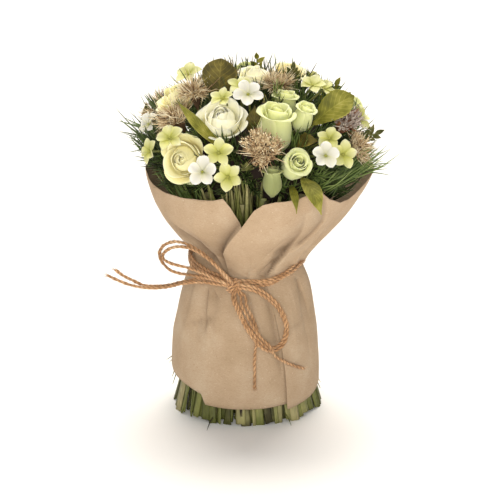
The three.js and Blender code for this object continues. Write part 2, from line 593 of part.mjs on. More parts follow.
// A leaf blade bends along its midrib from base through bend to tip, folds a little along it, and
// has a saw edge where teeth is above 0. A peak above 1 moves its widest place towards the tip.
function leafBlade({ base, bend, tip, width, face, fold = 0.15, teeth = 0, rise = 5, peak = 1 }) {
  const curve = new THREE.QuadraticBezierCurve3(coreRoot(vector(base)), vector(bend), vector(tip));
  const facing = vector(face).normalize();
  return sheet(2, rise, (u, v) => {
    const side = 2 * u - 1;
    const tangent = curve.getTangent(v);
    const across = tangent.clone().cross(facing).normalize();
    const normal = across.clone().cross(tangent).normalize();
    const saw = 1 + teeth * (Math.round(v * rise) % 2 ? 1 : -1) * Math.sin(Math.PI * v);
    const blade = Math.max(0, (v - PETIOLE) / (1 - PETIOLE));
    const half = width / 2 * saw * Math.max(0.09, Math.sin(Math.PI * blade ** peak) ** 0.85);
    return curve.getPoint(v).addScaledVector(across, side * half)
      .addScaledVector(normal, fold * half * Math.abs(side));
  }, BLADE_THICKNESS);
}

const LEAVES = [
  { base: [-24, -20, 240], bend: [-23, -34, 268], tip: [-19, -24, 289], width: 27, face: [-0.1, -1, 0.2],
    peak: 1.7 },
  { base: [48, -44, 232], bend: [62, -62, 262], tip: [81, -48, 265], width: 22, face: [-0.1, -1, 0.5],
    teeth: 0.1, rise: 9, peak: 1.3 },
  { base: [34, -58, 228], bend: [42, -76, 240], tip: [53, -69, 235], width: 11, face: [0, -0.8, 0.6] },
  { base: [-18, -62, 224], bend: [-30, -78, 240], tip: [-53, -56, 264], width: 9, face: [0.2, -0.8, 0.6] },
  { base: [46, -54, 202], bend: [46, -102, 217], tip: [55, -104, 188], width: 14, face: [0.3, -0.8, 0.6] },
  { base: [36, -58, 194], bend: [36, -96, 208], tip: [37, -98, 187], width: 6, face: [0, -1, 0.3] },
  { base: [6, -42, 232], bend: [5, -60, 243], tip: [6, -46, 257], width: 13, face: [0, -1, 0.3] },
  { base: [54, 42, 212], bend: [76, 56, 222], tip: [84, 64, 244], width: 22, face: [0.6, 0.4, 0.6] },
  { base: [-56, 36, 204], bend: [-78, 50, 212], tip: [-82, 56, 238], width: 24, face: [-0.7, 0.5, 0.5] },
];
const OLIVE_LEAVES = [2, 4, 5, 6, 8];
LEAVES.forEach((spec, k) => {
  const root = coreRoot(vector(spec.base));
  holes.push(rod(root.clone().lerp(vector(spec.bend), -0.04), root.clone().lerp(vector(spec.bend), 0.5),
    0.07 * spec.width + 3 * CLEARANCE, STALK_SIDES));
  [0.35, 0.65, 0.95].forEach((share) => keepOuts.push({
    place: vector(spec.base).lerp(vector(spec.tip), share), size: spec.width / 3 }));
  addNode(`leaf_${k + 1}`, leafBlade(spec), COLOURS[OLIVE_LEAVES.includes(k + 1) ? 'olive' : 'leaf']);
});

// ---------------------------------------------------------------- sprigs
// A thin twig with small pointed leaves in its outer part, in turn to the left and right, and one
// at its end.
const SPRIG = { radius: 0.8, width: 3.4, first: 0.5, side: 0.9 };

function sprigLeaf(from, heading, across, length) {
  return sheet(1, 2, (u, v) => {
    const half = SPRIG.width * Math.max(0.2, Math.sin(Math.PI * (0.1 + 0.8 * v)) / 2);
    return from.clone().addScaledVector(heading, length * (v - 0.12))
      .addScaledVector(across, (2 * u - 1) * half);
  }, BLADE_THICKNESS);
}

const SPRIGS = [
  { base: [33, -12, 240], tip: [35, -14, 278], face: [0, -0.9, 0.4], leaves: 5, length: 9 },
  { base: [50, 6, 230], tip: [69, 8, 261], face: [0, -0.9, 0.4], leaves: 4, length: 8 },
  { base: [66, -18, 212], tip: [99, -20, 229], face: [0, -0.9, 0.4], leaves: 5, length: 9 },
  { base: [8, 16, 240], tip: [8, 14, 281], face: [0, -0.9, 0.4], leaves: 3, length: 9 },
  { base: [0, -54, 208], tip: [0, -89, 218], face: [0, -0.7, 0.7], leaves: 4, length: 8 },
];
SPRIGS.forEach(({ base, tip, face, leaves, length }, k) => {
  const [end, root] = [vector(tip), coreRoot(vector(base))];
  const heading = end.clone().sub(root).normalize();
  const across = heading.clone().cross(vector(face)).normalize();
  holes.push(rod(root.clone().addScaledVector(heading, -CLEARANCE), end, SPRIG.radius + 2 * CLEARANCE,
    STALK_SIDES));
  const pieces = [rod(root, end, SPRIG.radius, STALK_SIDES)];
  for (let j = 0; j < leaves; j += 1) {
    const last = j === leaves - 1;
    const from = root.clone().lerp(end, SPRIG.first + (1 - SPRIG.first) * j / (leaves - 1));
    const lean = last ? 0 : SPRIG.side * (j % 2 ? 1 : -1);
    const aim = heading.clone().addScaledVector(across, lean).normalize();
    const breadth = across.clone().addScaledVector(heading, -lean).normalize();
    pieces.push(sprigLeaf(from, aim, breadth, length));
  }
  [0.6, 0.95].forEach((share) => keepOuts.push({ place: root.clone().lerp(end, share), size: 5 }));
  addNode(`sprig_${k + 1}`, fused(pieces), COLOURS[k % 2 ? 'olive' : 'sprig']);
});

// ---------------------------------------------------------------- needle foliage
// Dark needle grass on one core; every stalk above stands in a plain hole in it. A needle that
// would meet a head is left out.
const NEEDLES = { count: 98, radius: 1.1, shortest: 26, longest: 40, clear: 3 };

function needleIsClear(root, tip) {
  const line = new THREE.Line3(root, tip);
  const nearest = new THREE.Vector3();
  return keepOuts.every(({ place, size }) => {
    line.closestPointToPoint(place, true, nearest);
    return nearest.distanceTo(place) > size + NEEDLES.clear;
  });
}

function foliage() {
  const draw = seeded(47);
  const profile = [[0, CORE.bottom]];
  const lowest = Math.acos((CORE.bottom - CORE.centre.z) / CORE.high);
  for (let k = 7; k >= 1; k -= 1) {
    const angle = lowest * k / 7;
    profile.push([CORE.across * Math.sin(angle), CORE.centre.z + CORE.high * Math.cos(angle)]);
  }
  profile.push([0, CORE.centre.z + CORE.high]);
  const pieces = [turned(profile, 16).translate(CORE.centre.x, 0, 0)];
  for (let k = 0; k < NEEDLES.count; k += 1) {
    const polar = Math.acos(1 - 1.25 * (k + 0.5) / NEEDLES.count);
    const azimuth = k * 137.508 + draw(-8, 8);
    const flat = polarPoint(azimuth, Math.sin(polar), 0);
    const root = flat.clone().multiplyScalar(CORE.across - 2).setZ((CORE.high - 2) * Math.cos(polar));
    root.add(CORE.centre);
    const heading = polarPoint(azimuth + draw(-25, 25), Math.sin(polar * 0.75), Math.cos(polar * 0.75));
    const tip = root.clone().addScaledVector(heading, draw(NEEDLES.shortest, NEEDLES.longest));
    if (needleIsClear(root, tip)) pieces.push(spike(root, tip, NEEDLES.radius));
  }
  return fused(pieces, holes);
}

addNode('needle_foliage', foliage(), COLOURS.foliage);

export default bouquet;
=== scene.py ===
import bpy
import numpy as np
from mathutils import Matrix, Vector


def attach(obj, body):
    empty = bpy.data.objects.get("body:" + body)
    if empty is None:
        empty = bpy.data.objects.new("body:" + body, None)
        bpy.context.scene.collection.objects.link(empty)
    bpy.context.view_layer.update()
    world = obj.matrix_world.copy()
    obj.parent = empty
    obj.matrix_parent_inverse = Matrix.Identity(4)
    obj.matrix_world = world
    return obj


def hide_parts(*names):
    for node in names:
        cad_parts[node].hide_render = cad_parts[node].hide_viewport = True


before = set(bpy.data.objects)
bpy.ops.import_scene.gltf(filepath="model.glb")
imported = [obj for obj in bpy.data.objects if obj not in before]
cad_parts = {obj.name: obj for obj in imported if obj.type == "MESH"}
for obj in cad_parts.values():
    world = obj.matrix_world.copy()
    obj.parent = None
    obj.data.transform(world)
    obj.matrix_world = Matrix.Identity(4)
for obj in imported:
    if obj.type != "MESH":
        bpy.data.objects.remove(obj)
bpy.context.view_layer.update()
MM = 0.001


# ---------------------------------------------------------------- table and light
# The posy stands on a white photographer's sweep. A long lens looks a little down on the bow.
# The main light is broad and soft and stands overhead, a little behind; a weaker one fills in front.
VIEW_TARGET = (2.4, 0.0, 129.0)
VIEW_DISTANCE = 1500.0
VIEW_ELEVATION = 17.0
VIEW_LENS = 135.0
VIEW_FAR = 20000.0
SWEEP_SIZE = 30000.0
SWEEP_WHITE = "#f4f2ef"
STUDIO_FILL = 0.34
STUDIO_SEEN = 1.1
LOW_FRONT = ((-60, -1500, 600), 420, 12.6, "#fffdf8")  # place, size, watts, colour
OVERHEAD = ((0.04, 0.42, 1.0), 44, 3.8, "#fffaf2")  # direction, breadth in degrees, strength, colour


def linear(code):
    """The sRGB hex colour as linear light, with full opacity."""
    share = np.array([int(code[k : k + 2], 16) for k in (1, 3, 5)]) / 255
    light = np.where(share <= 0.04045, share / 12.92, ((share + 0.055) / 1.055) ** 2.4)
    return (*light.tolist(), 1.0)


def add_node(tree, kind, output, inputs=None, stops=(), **settings):
    """Adds a shader node and returns one of its outputs.

    An input is a plain value, or another node's output to link from. stops are a colour ramp's
    (place, hex colour) pairs.
    """
    node = tree.nodes.new(f"ShaderNode{kind}")
    for name, value in settings.items():
        setattr(node, name, value)
    for name, value in (inputs or {}).items():
        if isinstance(value, bpy.types.NodeSocket):
            tree.links.new(value, node.inputs[name])
        else:
            node.inputs[name].default_value = value
    if stops:
        elements = node.color_ramp.elements
        while len(elements) < len(stops):
            elements.new(0.5)
        for element, (place, code) in zip(elements, stops):
            element.position = place
            element.color = linear(code)
    return node.outputs[output]


def new_finish(name, **surface):
    """A material and its node tree and surface shader, with plain values on the shader's sockets."""
    finish = bpy.data.materials.new(name)
    finish.use_nodes = True
    shader = finish.node_tree.nodes["Principled BSDF"]
    for socket, value in surface.items():
        shader.inputs[socket.replace("_", " ")].default_value = value
    return finish, finish.node_tree, shader


def add_light(name, kind, strength, colour, way, track, place=(0, 0, 0), **size):
    """A light at a place, with its track axis along way. It shines along its own -Z axis."""
    lamp = bpy.data.lights.new(name, kind)
    lamp.energy = strength
    lamp.color = linear(colour)[:3]
    for setting, value in size.items():
        setattr(lamp, setting, value)
    holder = bpy.data.objects.new(name, lamp)
    holder.location = Vector(place) * MM
    holder.rotation_euler = way.to_track_quat(track, "Y").to_euler()
    bpy.context.collection.objects.link(holder)


lens = bpy.data.cameras.new("view")
lens.lens = VIEW_LENS
camera = bpy.data.objects.new("view", lens)
rise = np.radians(VIEW_ELEVATION)
back = Vector((0.0, -np.cos(rise), np.sin(rise)))
camera.location = (Vector(VIEW_TARGET) + VIEW_DISTANCE * back) * MM
camera.rotation_euler = back.to_track_quat("Z", "Y").to_euler()
lens.clip_end = VIEW_FAR * MM
bpy.context.collection.objects.link(camera)
bpy.context.scene.camera = camera
bpy.context.scene.view_settings.view_transform = "Standard"

sweep_mesh = bpy.data.meshes.new("sweep")
half = SWEEP_SIZE / 2 * MM
corners = [(-half, -half, 0), (half, -half, 0), (half, half, 0), (-half, half, 0)]
sweep_mesh.from_pydata(corners, [], [(0, 1, 2, 3)])
sweep = bpy.data.objects.new("sweep", sweep_mesh)
bpy.context.collection.objects.link(sweep)
# Matt white paper: no gloss, so the floor carries only the soft shadow.
white_paper = new_finish("white sweep", Base_Color=linear(SWEEP_WHITE), Roughness=0.9)[0]
sweep_mesh.materials.append(white_paper)

studio = bpy.data.worlds.new("studio")
studio.use_nodes = True
studio.node_tree.nodes["Background"].inputs["Color"].default_value = linear("#ffffff")
# The studio's white shows to the camera in full and lights the bouquet at about a third of that.
seen = add_node(studio.node_tree, "LightPath", "Is Camera Ray")
shares = {"Value": seen, "To Min": STUDIO_FILL, "To Max": STUDIO_SEEN}
strength = add_node(studio.node_tree, "MapRange", 0, shares)
studio.node_tree.links.new(strength, studio.node_tree.nodes["Background"].inputs["Strength"])
bpy.context.scene.world = studio
place, size, watts, colour = LOW_FRONT
aim = Vector(VIEW_TARGET) - Vector(place)
add_light("low front", "AREA", watts, colour, aim, "-Z", place, size=size * MM)
way, breadth, strength, colour = OVERHEAD
add_light("overhead", "SUN", strength, colour, Vector(way), "Z", angle=np.radians(breadth))


# ---------------------------------------------------------------- jute twine
# Three turns of two-ply jute are drawn tight round the waist and tied in a bow. Its left loops
# stand up, the doubled right loop and two ends hang in front, and two ends point left.
TWINE = 2.4
TWINE_PAIR = 4.6
TWINE_PITCH = 8.5
ROUTE_STEP = 0.5
KNOT_PLACE = (-10.5, -51.5, 115.5)
KNOT_LEAD = 3.0
FRONT = np.array([0.0, -1.0, 0.12])  # the way that the bow faces
FUZZ_HAIRS = 5200
FRAY_HAIRS = 26  # at each cut end
HAIR_RADIUS = 0.08
HAIR_FACING = (0.3, 0.9, 0.31)
NECK_HEIGHT = (116.0, 119.0, 121.0, 125.0)  # front, right, back, left
CLIMB = (6.5, 62, 30)  # the tie's rise on the right, and its azimuth and width in degrees
CORDS = {
    "loop_left_upper": [
        (-15, -55, 122), (-21, -56, 130), (-28, -56, 138), (-35, -55, 144), (-43, -52, 148),
        (-51, -48, 150), (-58, -44, 149), (-64.5, -40, 145), (-68, -37, 139), (-67.5, -35, 132.5),
        (-64.5, -34, 127), (-59.5, -34, 122.6), (-52, -35, 120.4), (-45, -37, 120),
        (-38, -41, 120), (-29, -47, 120), (-20, -51, 119),
    ],
    "loop_left_lower": [
        (-12, -59, 121), (-18, -61, 129), (-26, -61, 137), (-34.5, -59, 143.5), (-43, -56, 147.2),
        (-50, -52, 147.6), (-56, -48, 146), (-61, -44, 143), (-65, -41.3, 138.5), (-65, -40, 134),
        (-60, -40.5, 130.8), (-52.5, -42, 129), (-45.5, -45, 128.2), (-39, -48.5, 127),
        (-30.5, -53, 125), (-19, -57, 120.5),
    ],
    "loop_right": [
        (-1, -53, 115), (6, -52, 113), (13, -51, 109), (19, -50.5, 104), (25, -50, 97),
        (29, -50, 89), (31, -50, 81), (30, -52, 73), (26, -54, 67), (20, -57, 65), (14, -60.5, 68),
        (8, -61.5, 74), (2, -61.5, 82), (-4, -59, 92), (-8, -57, 101), (-10, -56, 106),
    ],
    "tail_left_long": [
        (-18.3, -50.3, 115.8), (-24, -48, 116), (-30, -45, 116), (-37, -41.2, 115.4),
        (-44.5, -37.6, 113.9), (-52.6, -34, 111.4), (-61.4, -30.5, 108.3), (-70.2, -27, 105.9),
        (-78.3, -24.5, 105.2), (-88.7, -22, 105.8), (-99.4, -18, 108), (-111, -14, 112.2),
    ],
    "tail_left_short": [
        (-18.3, -47.9, 117.4), (-24, -45.4, 117.8), (-30, -42, 117.8), (-37, -38.2, 117),
        (-44.5, -34.6, 114.8), (-52.5, -30.9, 111.8), (-60.6, -27.6, 108.8),
        (-68.6, -24.2, 106.6), (-75.7, -21.6, 105.8), (-83.2, -19.6, 106.2), (-92, -19.8, 110.6),
        (-98.2, -21, 114.4), (-104, -22, 119.3),
    ],
    "tail_right_long": [
        (-5, -54.5, 108), (-4, -57.9, 102), (0.6, -60.2, 93), (5.6, -61.7, 84), (11.7, -62.4, 76),
        (18, -63.5, 70), (22, -60, 61), (27, -56, 56), (32, -52, 52), (39, -46, 47), (45, -40, 43),
    ],
    "tail_right_hanging": [
        (-1.5, -53.5, 107.5), (-0.4, -54.8, 101), (3.4, -56.2, 93), (6.6, -56.8, 85),
        (8.2, -56.8, 78), (8, -56.4, 71.5), (6.5, -57.5, 65), (6, -59.5, 57), (6, -60.5, 47),
        (6, -60.5, 40), (6, -60.5, 34),
    ],
}


def add_piece(name, points, finish, shade, replaces=(), closed=False, capped=False):
    """A piece made of one or more grids of points, (count, rows, columns, 3) in millimetres.

    closed joins the last column to the first and capped shuts both ends of such a tube. The UV
    map runs across the columns and up the rows. shade is one number, or one for each grid, each row
    or each point.
    """
    points = np.asarray(points, float)
    count, rows, columns, _ = points.shape
    across = columns if closed else columns - 1
    g, j, i = np.meshgrid(np.arange(count), np.arange(rows - 1), np.arange(across), indexing="ij")

    def corner(right, up):
        return (g * rows + j + up) * columns + (i + right) % columns

    quads = np.stack([corner(0, 0), corner(1, 0), corner(1, 1), corner(0, 1)], axis=-1)
    span = np.stack([i, i + 1, i + 1, i], axis=-1) / across
    rise = np.stack([j, j, j + 1, j + 1], axis=-1) / (rows - 1)
    corners = [quads.ravel()]
    maps = [np.stack([span, rise], axis=-1).reshape(-1, 2)]
    sizes = [np.full(quads.size // 4, 4)]
    if capped:
        for row, order in ((0, slice(None, None, -1)), (rows - 1, slice(None))):
            rim = (np.arange(count)[:, None] * rows + row) * columns + np.arange(columns)[order]
            corners.append(rim.ravel())
            maps.append(np.tile([0.5, row / (rows - 1)], (rim.size, 1)))
            sizes.append(np.full(count, columns))
    corners, sizes = np.concatenate(corners), np.concatenate(sizes)
    mesh = bpy.data.meshes.new(name)
    mesh.vertices.add(points.size // 3)
    mesh.vertices.foreach_set("co", (points * MM).ravel())
    mesh.loops.add(len(corners))
    mesh.loops.foreach_set("vertex_index", corners)
    mesh.polygons.add(len(sizes))
    mesh.polygons.foreach_set("loop_start", np.concatenate([[0], np.cumsum(sizes)[:-1]]))
    mesh.uv_layers.new(name="surface").uv.foreach_set("vector", np.concatenate(maps).ravel())
    shade = np.asarray(shade, float)
    shade = np.broadcast_to(shade.reshape(shade.shape + (1,) * (3 - shade.ndim)), points.shape[:3])
    mesh.attributes.new("shade", "FLOAT", "POINT").data.foreach_set("value", shade.ravel())
    mesh.update(calc_edges=True)
    mesh.shade_smooth()
    mesh.materials.append(finish)
    piece = bpy.data.objects.new(name, mesh)
    bpy.context.collection.objects.link(piece)
    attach(piece, "root")
    if replaces:
        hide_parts(*replaces)
    return piece


def unit(vectors):
    """The vectors at length one."""
    return vectors / np.maximum(np.linalg.norm(vectors, axis=-1, keepdims=True), 1e-9)


def tubes(lines, facing, sections):
    """Sections carried along lines.

    lines is (count, rows, 3) and facing, the way that the section's second axis looks, broadcasts
    to it. sections is (count, rows, columns, 2), its outline going round to the left.
    """
    heading = unit(np.gradient(lines, axis=1))
    side = unit(np.cross(np.broadcast_to(facing, lines.shape), heading))
    face = np.cross(heading, side)
    return (
        lines[:, :, None]
        + sections[..., :1] * side[:, :, None]
        + sections[..., 1:] * face[:, :, None]
    )


def add_closed(name, points, finish, shade, replaces=()):
    """A piece made of tubes that are shut at both ends."""
    return add_piece(name, points, finish, shade, replaces, closed=True, capped=True)


def smooth_route(points, step):
    """A Catmull-Rom line through the points, cut into equal steps of about that length."""
    knots = np.asarray(points, float)
    knots = np.vstack([2 * knots[0] - knots[1], knots, 2 * knots[-1] - knots[-2]])
    t = np.linspace(0, 1, 16, endpoint=False)[None, :, None]
    a, b, c, d = (knots[k : len(knots) - 3 + k, None] for k in range(4))
    line = b + t / 2 * (c - a + t * (2 * a - 5 * b + 4 * c - d + t * (3 * b - a - 3 * c + d)))
    line = np.vstack([line.reshape(-1, 3), knots[-2]])
    travel = np.concatenate([[0], np.cumsum(np.linalg.norm(np.diff(line, axis=0), axis=1))])
    places = np.linspace(0, travel[-1], int(travel[-1] / step) + 1)
    return np.stack([np.interp(places, travel, line[:, k]) for k in range(3)], axis=1)


def run_length(line):
    """The length along each line of points, from 0 at its first point."""
    steps = np.linalg.norm(np.diff(line, axis=-2), axis=-1)
    return np.concatenate([np.zeros_like(steps[..., :1]), np.cumsum(steps, axis=-1)], axis=-1)


def ply_sections(travel, diameter, turn=0.0):
    """Outlines of two-ply twine, and how high each point stands on its ply.

    The reach is a rounded lobe for each ply. The lobes turn once round in a pitch, now tighter and
    now looser, and carry finer waves for the bundles of fibre.
    """
    angle = np.linspace(0, 2 * np.pi, 20, endpoint=False)
    twist = 2 * np.pi * travel / TWINE_PITCH + turn + 0.5 * np.sin(travel / 5.3 + 2 * turn)
    lobe = np.abs(np.cos(angle - twist[..., None])) ** 0.75
    fibre = 0.5 + 0.5 * np.cos(6 * angle - 4.3 * twist[..., None])
    reach = diameter / 2 * (0.64 + 0.34 * lobe + 0.09 * fibre)
    return np.stack([reach * np.cos(angle), reach * np.sin(angle)], axis=-1), lobe * (0.6 + 0.4 * fibre)


def around(azimuth, values):
    """A value that changes smoothly round the posy through its front, right, back and left."""
    front, right, rear, left = values
    angle = np.radians(azimuth)
    cross = (front + rear - right - left) / 4
    middle = (front + right + rear + left) / 4
    swing = (front - rear) / 2 * np.cos(angle) + (right - left) / 2 * np.sin(angle)
    return middle + swing + cross * np.cos(2 * angle)


def turned(azimuth, at):
    """Degrees round from at, between -180 and 180."""
    return (azimuth - at + 540) % 360 - 180


def neck_height(azimuth):
    """The height of the tie's middle: level but for a tilt, and a bell-shaped climb on the right."""
    rise, at, width = CLIMB
    return around(azimuth, NECK_HEIGHT) + rise * np.exp(-((turned(azimuth, at) / width) ** 2))


def polar(azimuth, radius, height):
    """Points at an azimuth from the front, a radius and a height."""
    angle = np.radians(azimuth)
    parts = np.broadcast_arrays(radius * np.sin(angle), -radius * np.cos(angle), height)
    return np.stack(parts, axis=-1)


def jute():
    """Jute twine: spun plant fibre, so matt, streaked along each ply, with painted shade in the grooves
    between the plies.
    """
    finish, tree, shader = new_finish(
        "jute twine", Roughness=0.85, Sheen_Weight=0.15, Specular_IOR_Level=0.25
    )
    place = add_node(tree, "TexCoord", "Object")
    stand = add_node(tree, "Attribute", "Fac", attribute_name="shade")
    streak = add_node(tree, "TexNoise", "Fac", {"Vector": place, "Scale": 1400.0, "Detail": 3.0})
    patch = add_node(tree, "TexNoise", "Fac", {"Vector": place, "Scale": 70.0, "Detail": 2.0})
    worn = add_node(tree, "Math", 0, {0: streak, 1: patch}, operation="ADD")
    worn = add_node(tree, "Math", 0, {0: worn, 1: 0.5}, operation="MULTIPLY")
    tans = [(0.3, "#8c6a4a"), (0.5, "#c09266"), (0.68, "#e8c49a")]
    fibre = add_node(tree, "ValToRGB", "Color", {"Fac": worn}, tans)
    # Painted shade: the colour goes to a deep brown where the twine lies low, in the grooves between the
    # plies.
    deep = {"Value": stand, "From Min": 0.1, "From Max": 0.7, "To Min": 0.15}
    deep = add_node(tree, "MapRange", 0, deep)
    colour = add_node(tree, "Mix", 2, {0: deep, 6: linear("#6e5036"), 7: fibre}, data_type="RGBA")
    relief = add_node(tree, "Bump", "Normal", {"Height": streak, "Strength": 0.8, "Distance": 0.4 * MM})
    tree.links.new(colour, shader.inputs["Base Color"])
    tree.links.new(relief, shader.inputs["Normal"])
    return finish


def uneven(travel, turn=0.0):
    """Hand-spun thickness: a few slow waves of a tenth or less along the strand."""
    phase = travel + 40 * turn
    return 1 + 0.08 * np.sin(phase / 3.1) + 0.07 * np.sin(phase / 1.37) + 0.06 * np.sin(phase / 9.7)


twine_finish = jute()


def add_twine(name, lines, facing, travel, turn, swell, node):
    """Twine along lines: travel and turn place its plies, and swell is its share of full thickness."""
    outlines, lobes = ply_sections(travel, TWINE, turn)
    outlines = outlines * np.asarray(swell)[..., None, None]
    return add_closed(name, tubes(lines, facing, outlines), twine_finish, lobes, node)


knot_middle = np.array(KNOT_PLACE)
twine_lines = []
for k, (name, route) in enumerate(CORDS.items()):
    # Both ends of a loop, and the inner end of a tail, run on into the knot.
    leads = [knot_middle + KNOT_LEAD * unit(np.array(route[end]) - knot_middle) for end in (0, -1)]
    looped, paired = name.startswith("loop"), name == "loop_right"
    line = smooth_route([leads[0], *route, leads[1]] if looped else [leads[0], *route], ROUTE_STEP)
    travel = run_length(line)
    strands, turns = line[None], np.array([[1.7 * k]])
    if paired:
        heading = unit(np.gradient(line, axis=0))
        aside = unit(np.cross(np.broadcast_to(FRONT, line.shape), heading))
        gap = (TWINE_PAIR - TWINE) / 2 + 0.25 * np.sin(travel / 11)[:, None]
        strands = np.stack([line - gap * aside, line + gap * aside])
        turns = np.array([[0.0], [1.3]])
    each = travel + 0 * strands[..., 0]
    cord = add_twine(name, strands, FRONT, each, turns, uneven(travel, turns), (name,))
    twine_lines.extend(strands)

# The three turns lie side by side on the paper and close up where they enter the knot. Each list
# is over the azimuths before it: the radius, half the space between turns, and how far the
# middle turn rides up on the others.
azimuth = np.linspace(-12, 348, 560)
seat = np.interp(azimuth, [-12, 4, 14, 46, 94, 150, 348], [46.3, 46.8, 47.4, 46.4, 43.0, 45.8, 45.8])
spread = np.interp(
    azimuth, [-12, 20, 50, 130, 180, 250, 320, 348], [1.5, 2.1, 1.3, 1.3, 2.5, 2.8, 3.2, 1.5]
)
proud = np.interp(azimuth, [10, 45, 135, 170], [0.25, 2.0, 2.0, 0.25])
turns = np.array([-1.0, 0.0, 1.0])[:, None]
angle = np.radians(azimuth)
wander = 0.4 * np.sin(angle * 5 + 2 * turns) + 0.25 * np.sin(angle * 13 + turns)
height = neck_height(azimuth) + turns * spread + wander
band = polar(azimuth, seat + proud * (1 - turns**2), height)
travel = run_length(band)
outward = polar(azimuth, 1.0, 0.0)
add_twine("twine_band", band, outward, travel, 2.1 * turns, uneven(travel, turns), ("twine_tie",))
# The knot is an overhand knot: a trefoil line drawn tight.
t = np.linspace(0, 2 * np.pi, 200)
trefoil = np.stack(
    [1.6 * (np.sin(t) + 2 * np.sin(2 * t)), 1.6 * np.sin(3 * t), 1.45 * (np.cos(t) - 2 * np.cos(2 * t))],
    axis=-1,
) + knot_middle
# Two turns lie side by side round its middle, and slant down to the left in front.
slant, aside = np.array([-0.62, 0.0, -0.78]), np.array([0.78, 0.0, -0.62])
collars = [
    knot_middle + shift * aside + 5.4 * np.cos(t)[:, None] * slant + 4.0 * np.sin(t)[:, None] * FRONT
    for shift in (-1.9, 0.5)
]
knot = np.stack([trefoil, *collars])
add_twine("twine_knot", knot, unit(knot - knot_middle), run_length(knot), 0.0, 1.0, ())

# Loose fibres stand off the twine, and the four cut ends fray into a small brush.
draw = np.random.default_rng(5)
places = np.concatenate([*(line[8:-8] for line in twine_lines), *band])
ways = [unit(np.gradient(line, axis=0))[8:-8] for line in twine_lines]
ways = np.concatenate([*ways, *unit(np.gradient(band, axis=1))])
pick = draw.integers(0, len(places), FUZZ_HAIRS)
root, along = places[pick], ways[pick]
out = unit(np.cross(along, draw.normal(size=along.shape)))
# The loops' four strands come first in the list, and the tails after them.
tails = twine_lines[4:]
ends = np.repeat([line[-1] for line in tails], FRAY_HAIRS, axis=0)
end_ways = np.repeat([unit(line[-1] - line[-6]) for line in tails], FRAY_HAIRS, axis=0)
flare = draw.normal(size=ends.shape)
hair = np.concatenate([root + 0.45 * TWINE * out, ends - 0.5 * end_ways + 0.35 * flare])
way = 0.35 * out + 0.9 * along * draw.choice([-1, 1], (len(root), 1))
way = unit(np.concatenate([way, end_ways + 0.3 * flare]))
bend = np.concatenate([0.5 * along + 0.5 * draw.normal(size=along.shape), 0.25 * flare])
reach = np.concatenate([draw.uniform(1.0, 3.4, len(root)), draw.uniform(2.0, 4.5, len(ends))])
s = np.linspace(0, 1, 4)[None, :, None]
fuzz = hair[:, None] + reach[:, None, None] * (way[:, None] * s + 0.5 * bend[:, None] * s**2)
angle = np.radians([90, 210, 330])
ring = np.stack([np.cos(angle), np.sin(angle)], axis=-1)
taper = np.array([1.0, 0.85, 0.6, 0.25])[:, None, None]
sections = np.broadcast_to(HAIR_RADIUS * taper * ring, (len(hair), 4, 3, 2))
hairs = tubes(fuzz, HAIR_FACING, sections)
add_closed("twine_fuzz", hairs, twine_finish, 0.9)


# ---------------------------------------------------------------- kraft paper
# One sheet of brown kraft paper is rolled once round the stems, its torn outer edge in front. It
# necks in under the twine, swells into a skirt below and opens into a bowl for the flowers.
PAPER_GRID = (400, 120)
PAPER_NECK = 44.0
PAPER_MEAN_RADIUS = 52.0
PAPER_THICKNESS = 0.35
PAPER_LAP_GAP = 2.2
LAP_EASE = 0.22  # the share of the way round over which the free edge comes down to the sheet
STEM_ROOM = [(46, 52), (105, 42), (130, 41.5), (150, 47), (186, 69)]  # height, least radius
# On the right the bowl's paper puffs out and down over the tie.
PUFF = (48, 116, 2.4, 2.6)  # azimuths, how far out, how far down
# The neck's half height, and half the height of the grid's row at the tie.
NECK_HALF_HEIGHT = (6, 2, 6, 6)
NECK_ROW = 5.2
BOWL_DEPTH = (42, 80, 48, 37)
BOWL_REACH = (36, 62, 38, 28)
BOWL_POWER = (1.5, 1.1, 1.5, 1.25)
SKIRT_SWELL = (14, 14.5, 15, 19)
SKIRT_REACH = 32.0
# The azimuths that the hem, the neck and the rim run between, and how many equal steps up the grid
# lie in the skirt, at the tie and in the bowl.
HEM_SPAN, NECK_SPAN, RIM_SPAN = (33, 420), (0, 383), (4, 347)
SKIRT_STEPS, TIE_STEPS, BOWL_STEPS = 4, 1, 6
# Azimuth of the free edges at each height, and height of the rim and hem at each azimuth.
OUTER_EDGE = [
    (12, 33), (45, 31), (70, 28), (94, 24), (112, 20), (128, -19), (143, -18), (156, -11),
    (170, -3), (186, 4),
]
INNER_EDGE = [
    (12, 420), (60, 418), (95, 405), (115, 385), (130, 375), (150, 366), (170, 357), (178, 354),
    (186, 351), (193, 347),
]
TOP_EDGE = [
    (4, 186), (8, 191), (14, 193.5), (25, 193.5), (35, 199), (42, 190), (52, 184), (60, 183),
    (70, 191), (82, 198), (120, 197), (160, 200), (210, 196), (250, 199), (282, 198), (292, 191),
    (305, 189), (330, 189), (340, 191), (347, 193),
]
BOTTOM_EDGE = [
    (33, 12), (46, 14), (60, 16), (75, 19), (90, 23), (130, 20), (180, 23), (230, 26), (262, 40),
    (285, 32), (308, 28), (323, 24), (326, 16), (345, 15), (375, 15), (393, 16), (420, 18),
]
# Folds that run from the tie: azimuth, drift in degrees a millimetre, depth, width in degrees,
# and how far they reach up and down.
PLEATS = [
    (-24, -0.55, 4.5, 7, 46, 0), (22, 0.22, 4.0, 6, 44, 0), (3, -0.1, 2.0, 5, 0, 40),
    (-42, 0.1, 2.0, 6, 0, 55), (66, 0.1, 2.5, 8, 48, 60), (105, 0.1, 3.0, 9, 56, 54),
    (148, -0.1, 3.0, 9, 50, 60), (190, 0.1, 3.0, 9, 56, 54), (232, -0.1, 3.0, 9, 50, 60),
    (274, 0.1, 2.5, 9, 48, 60),
]
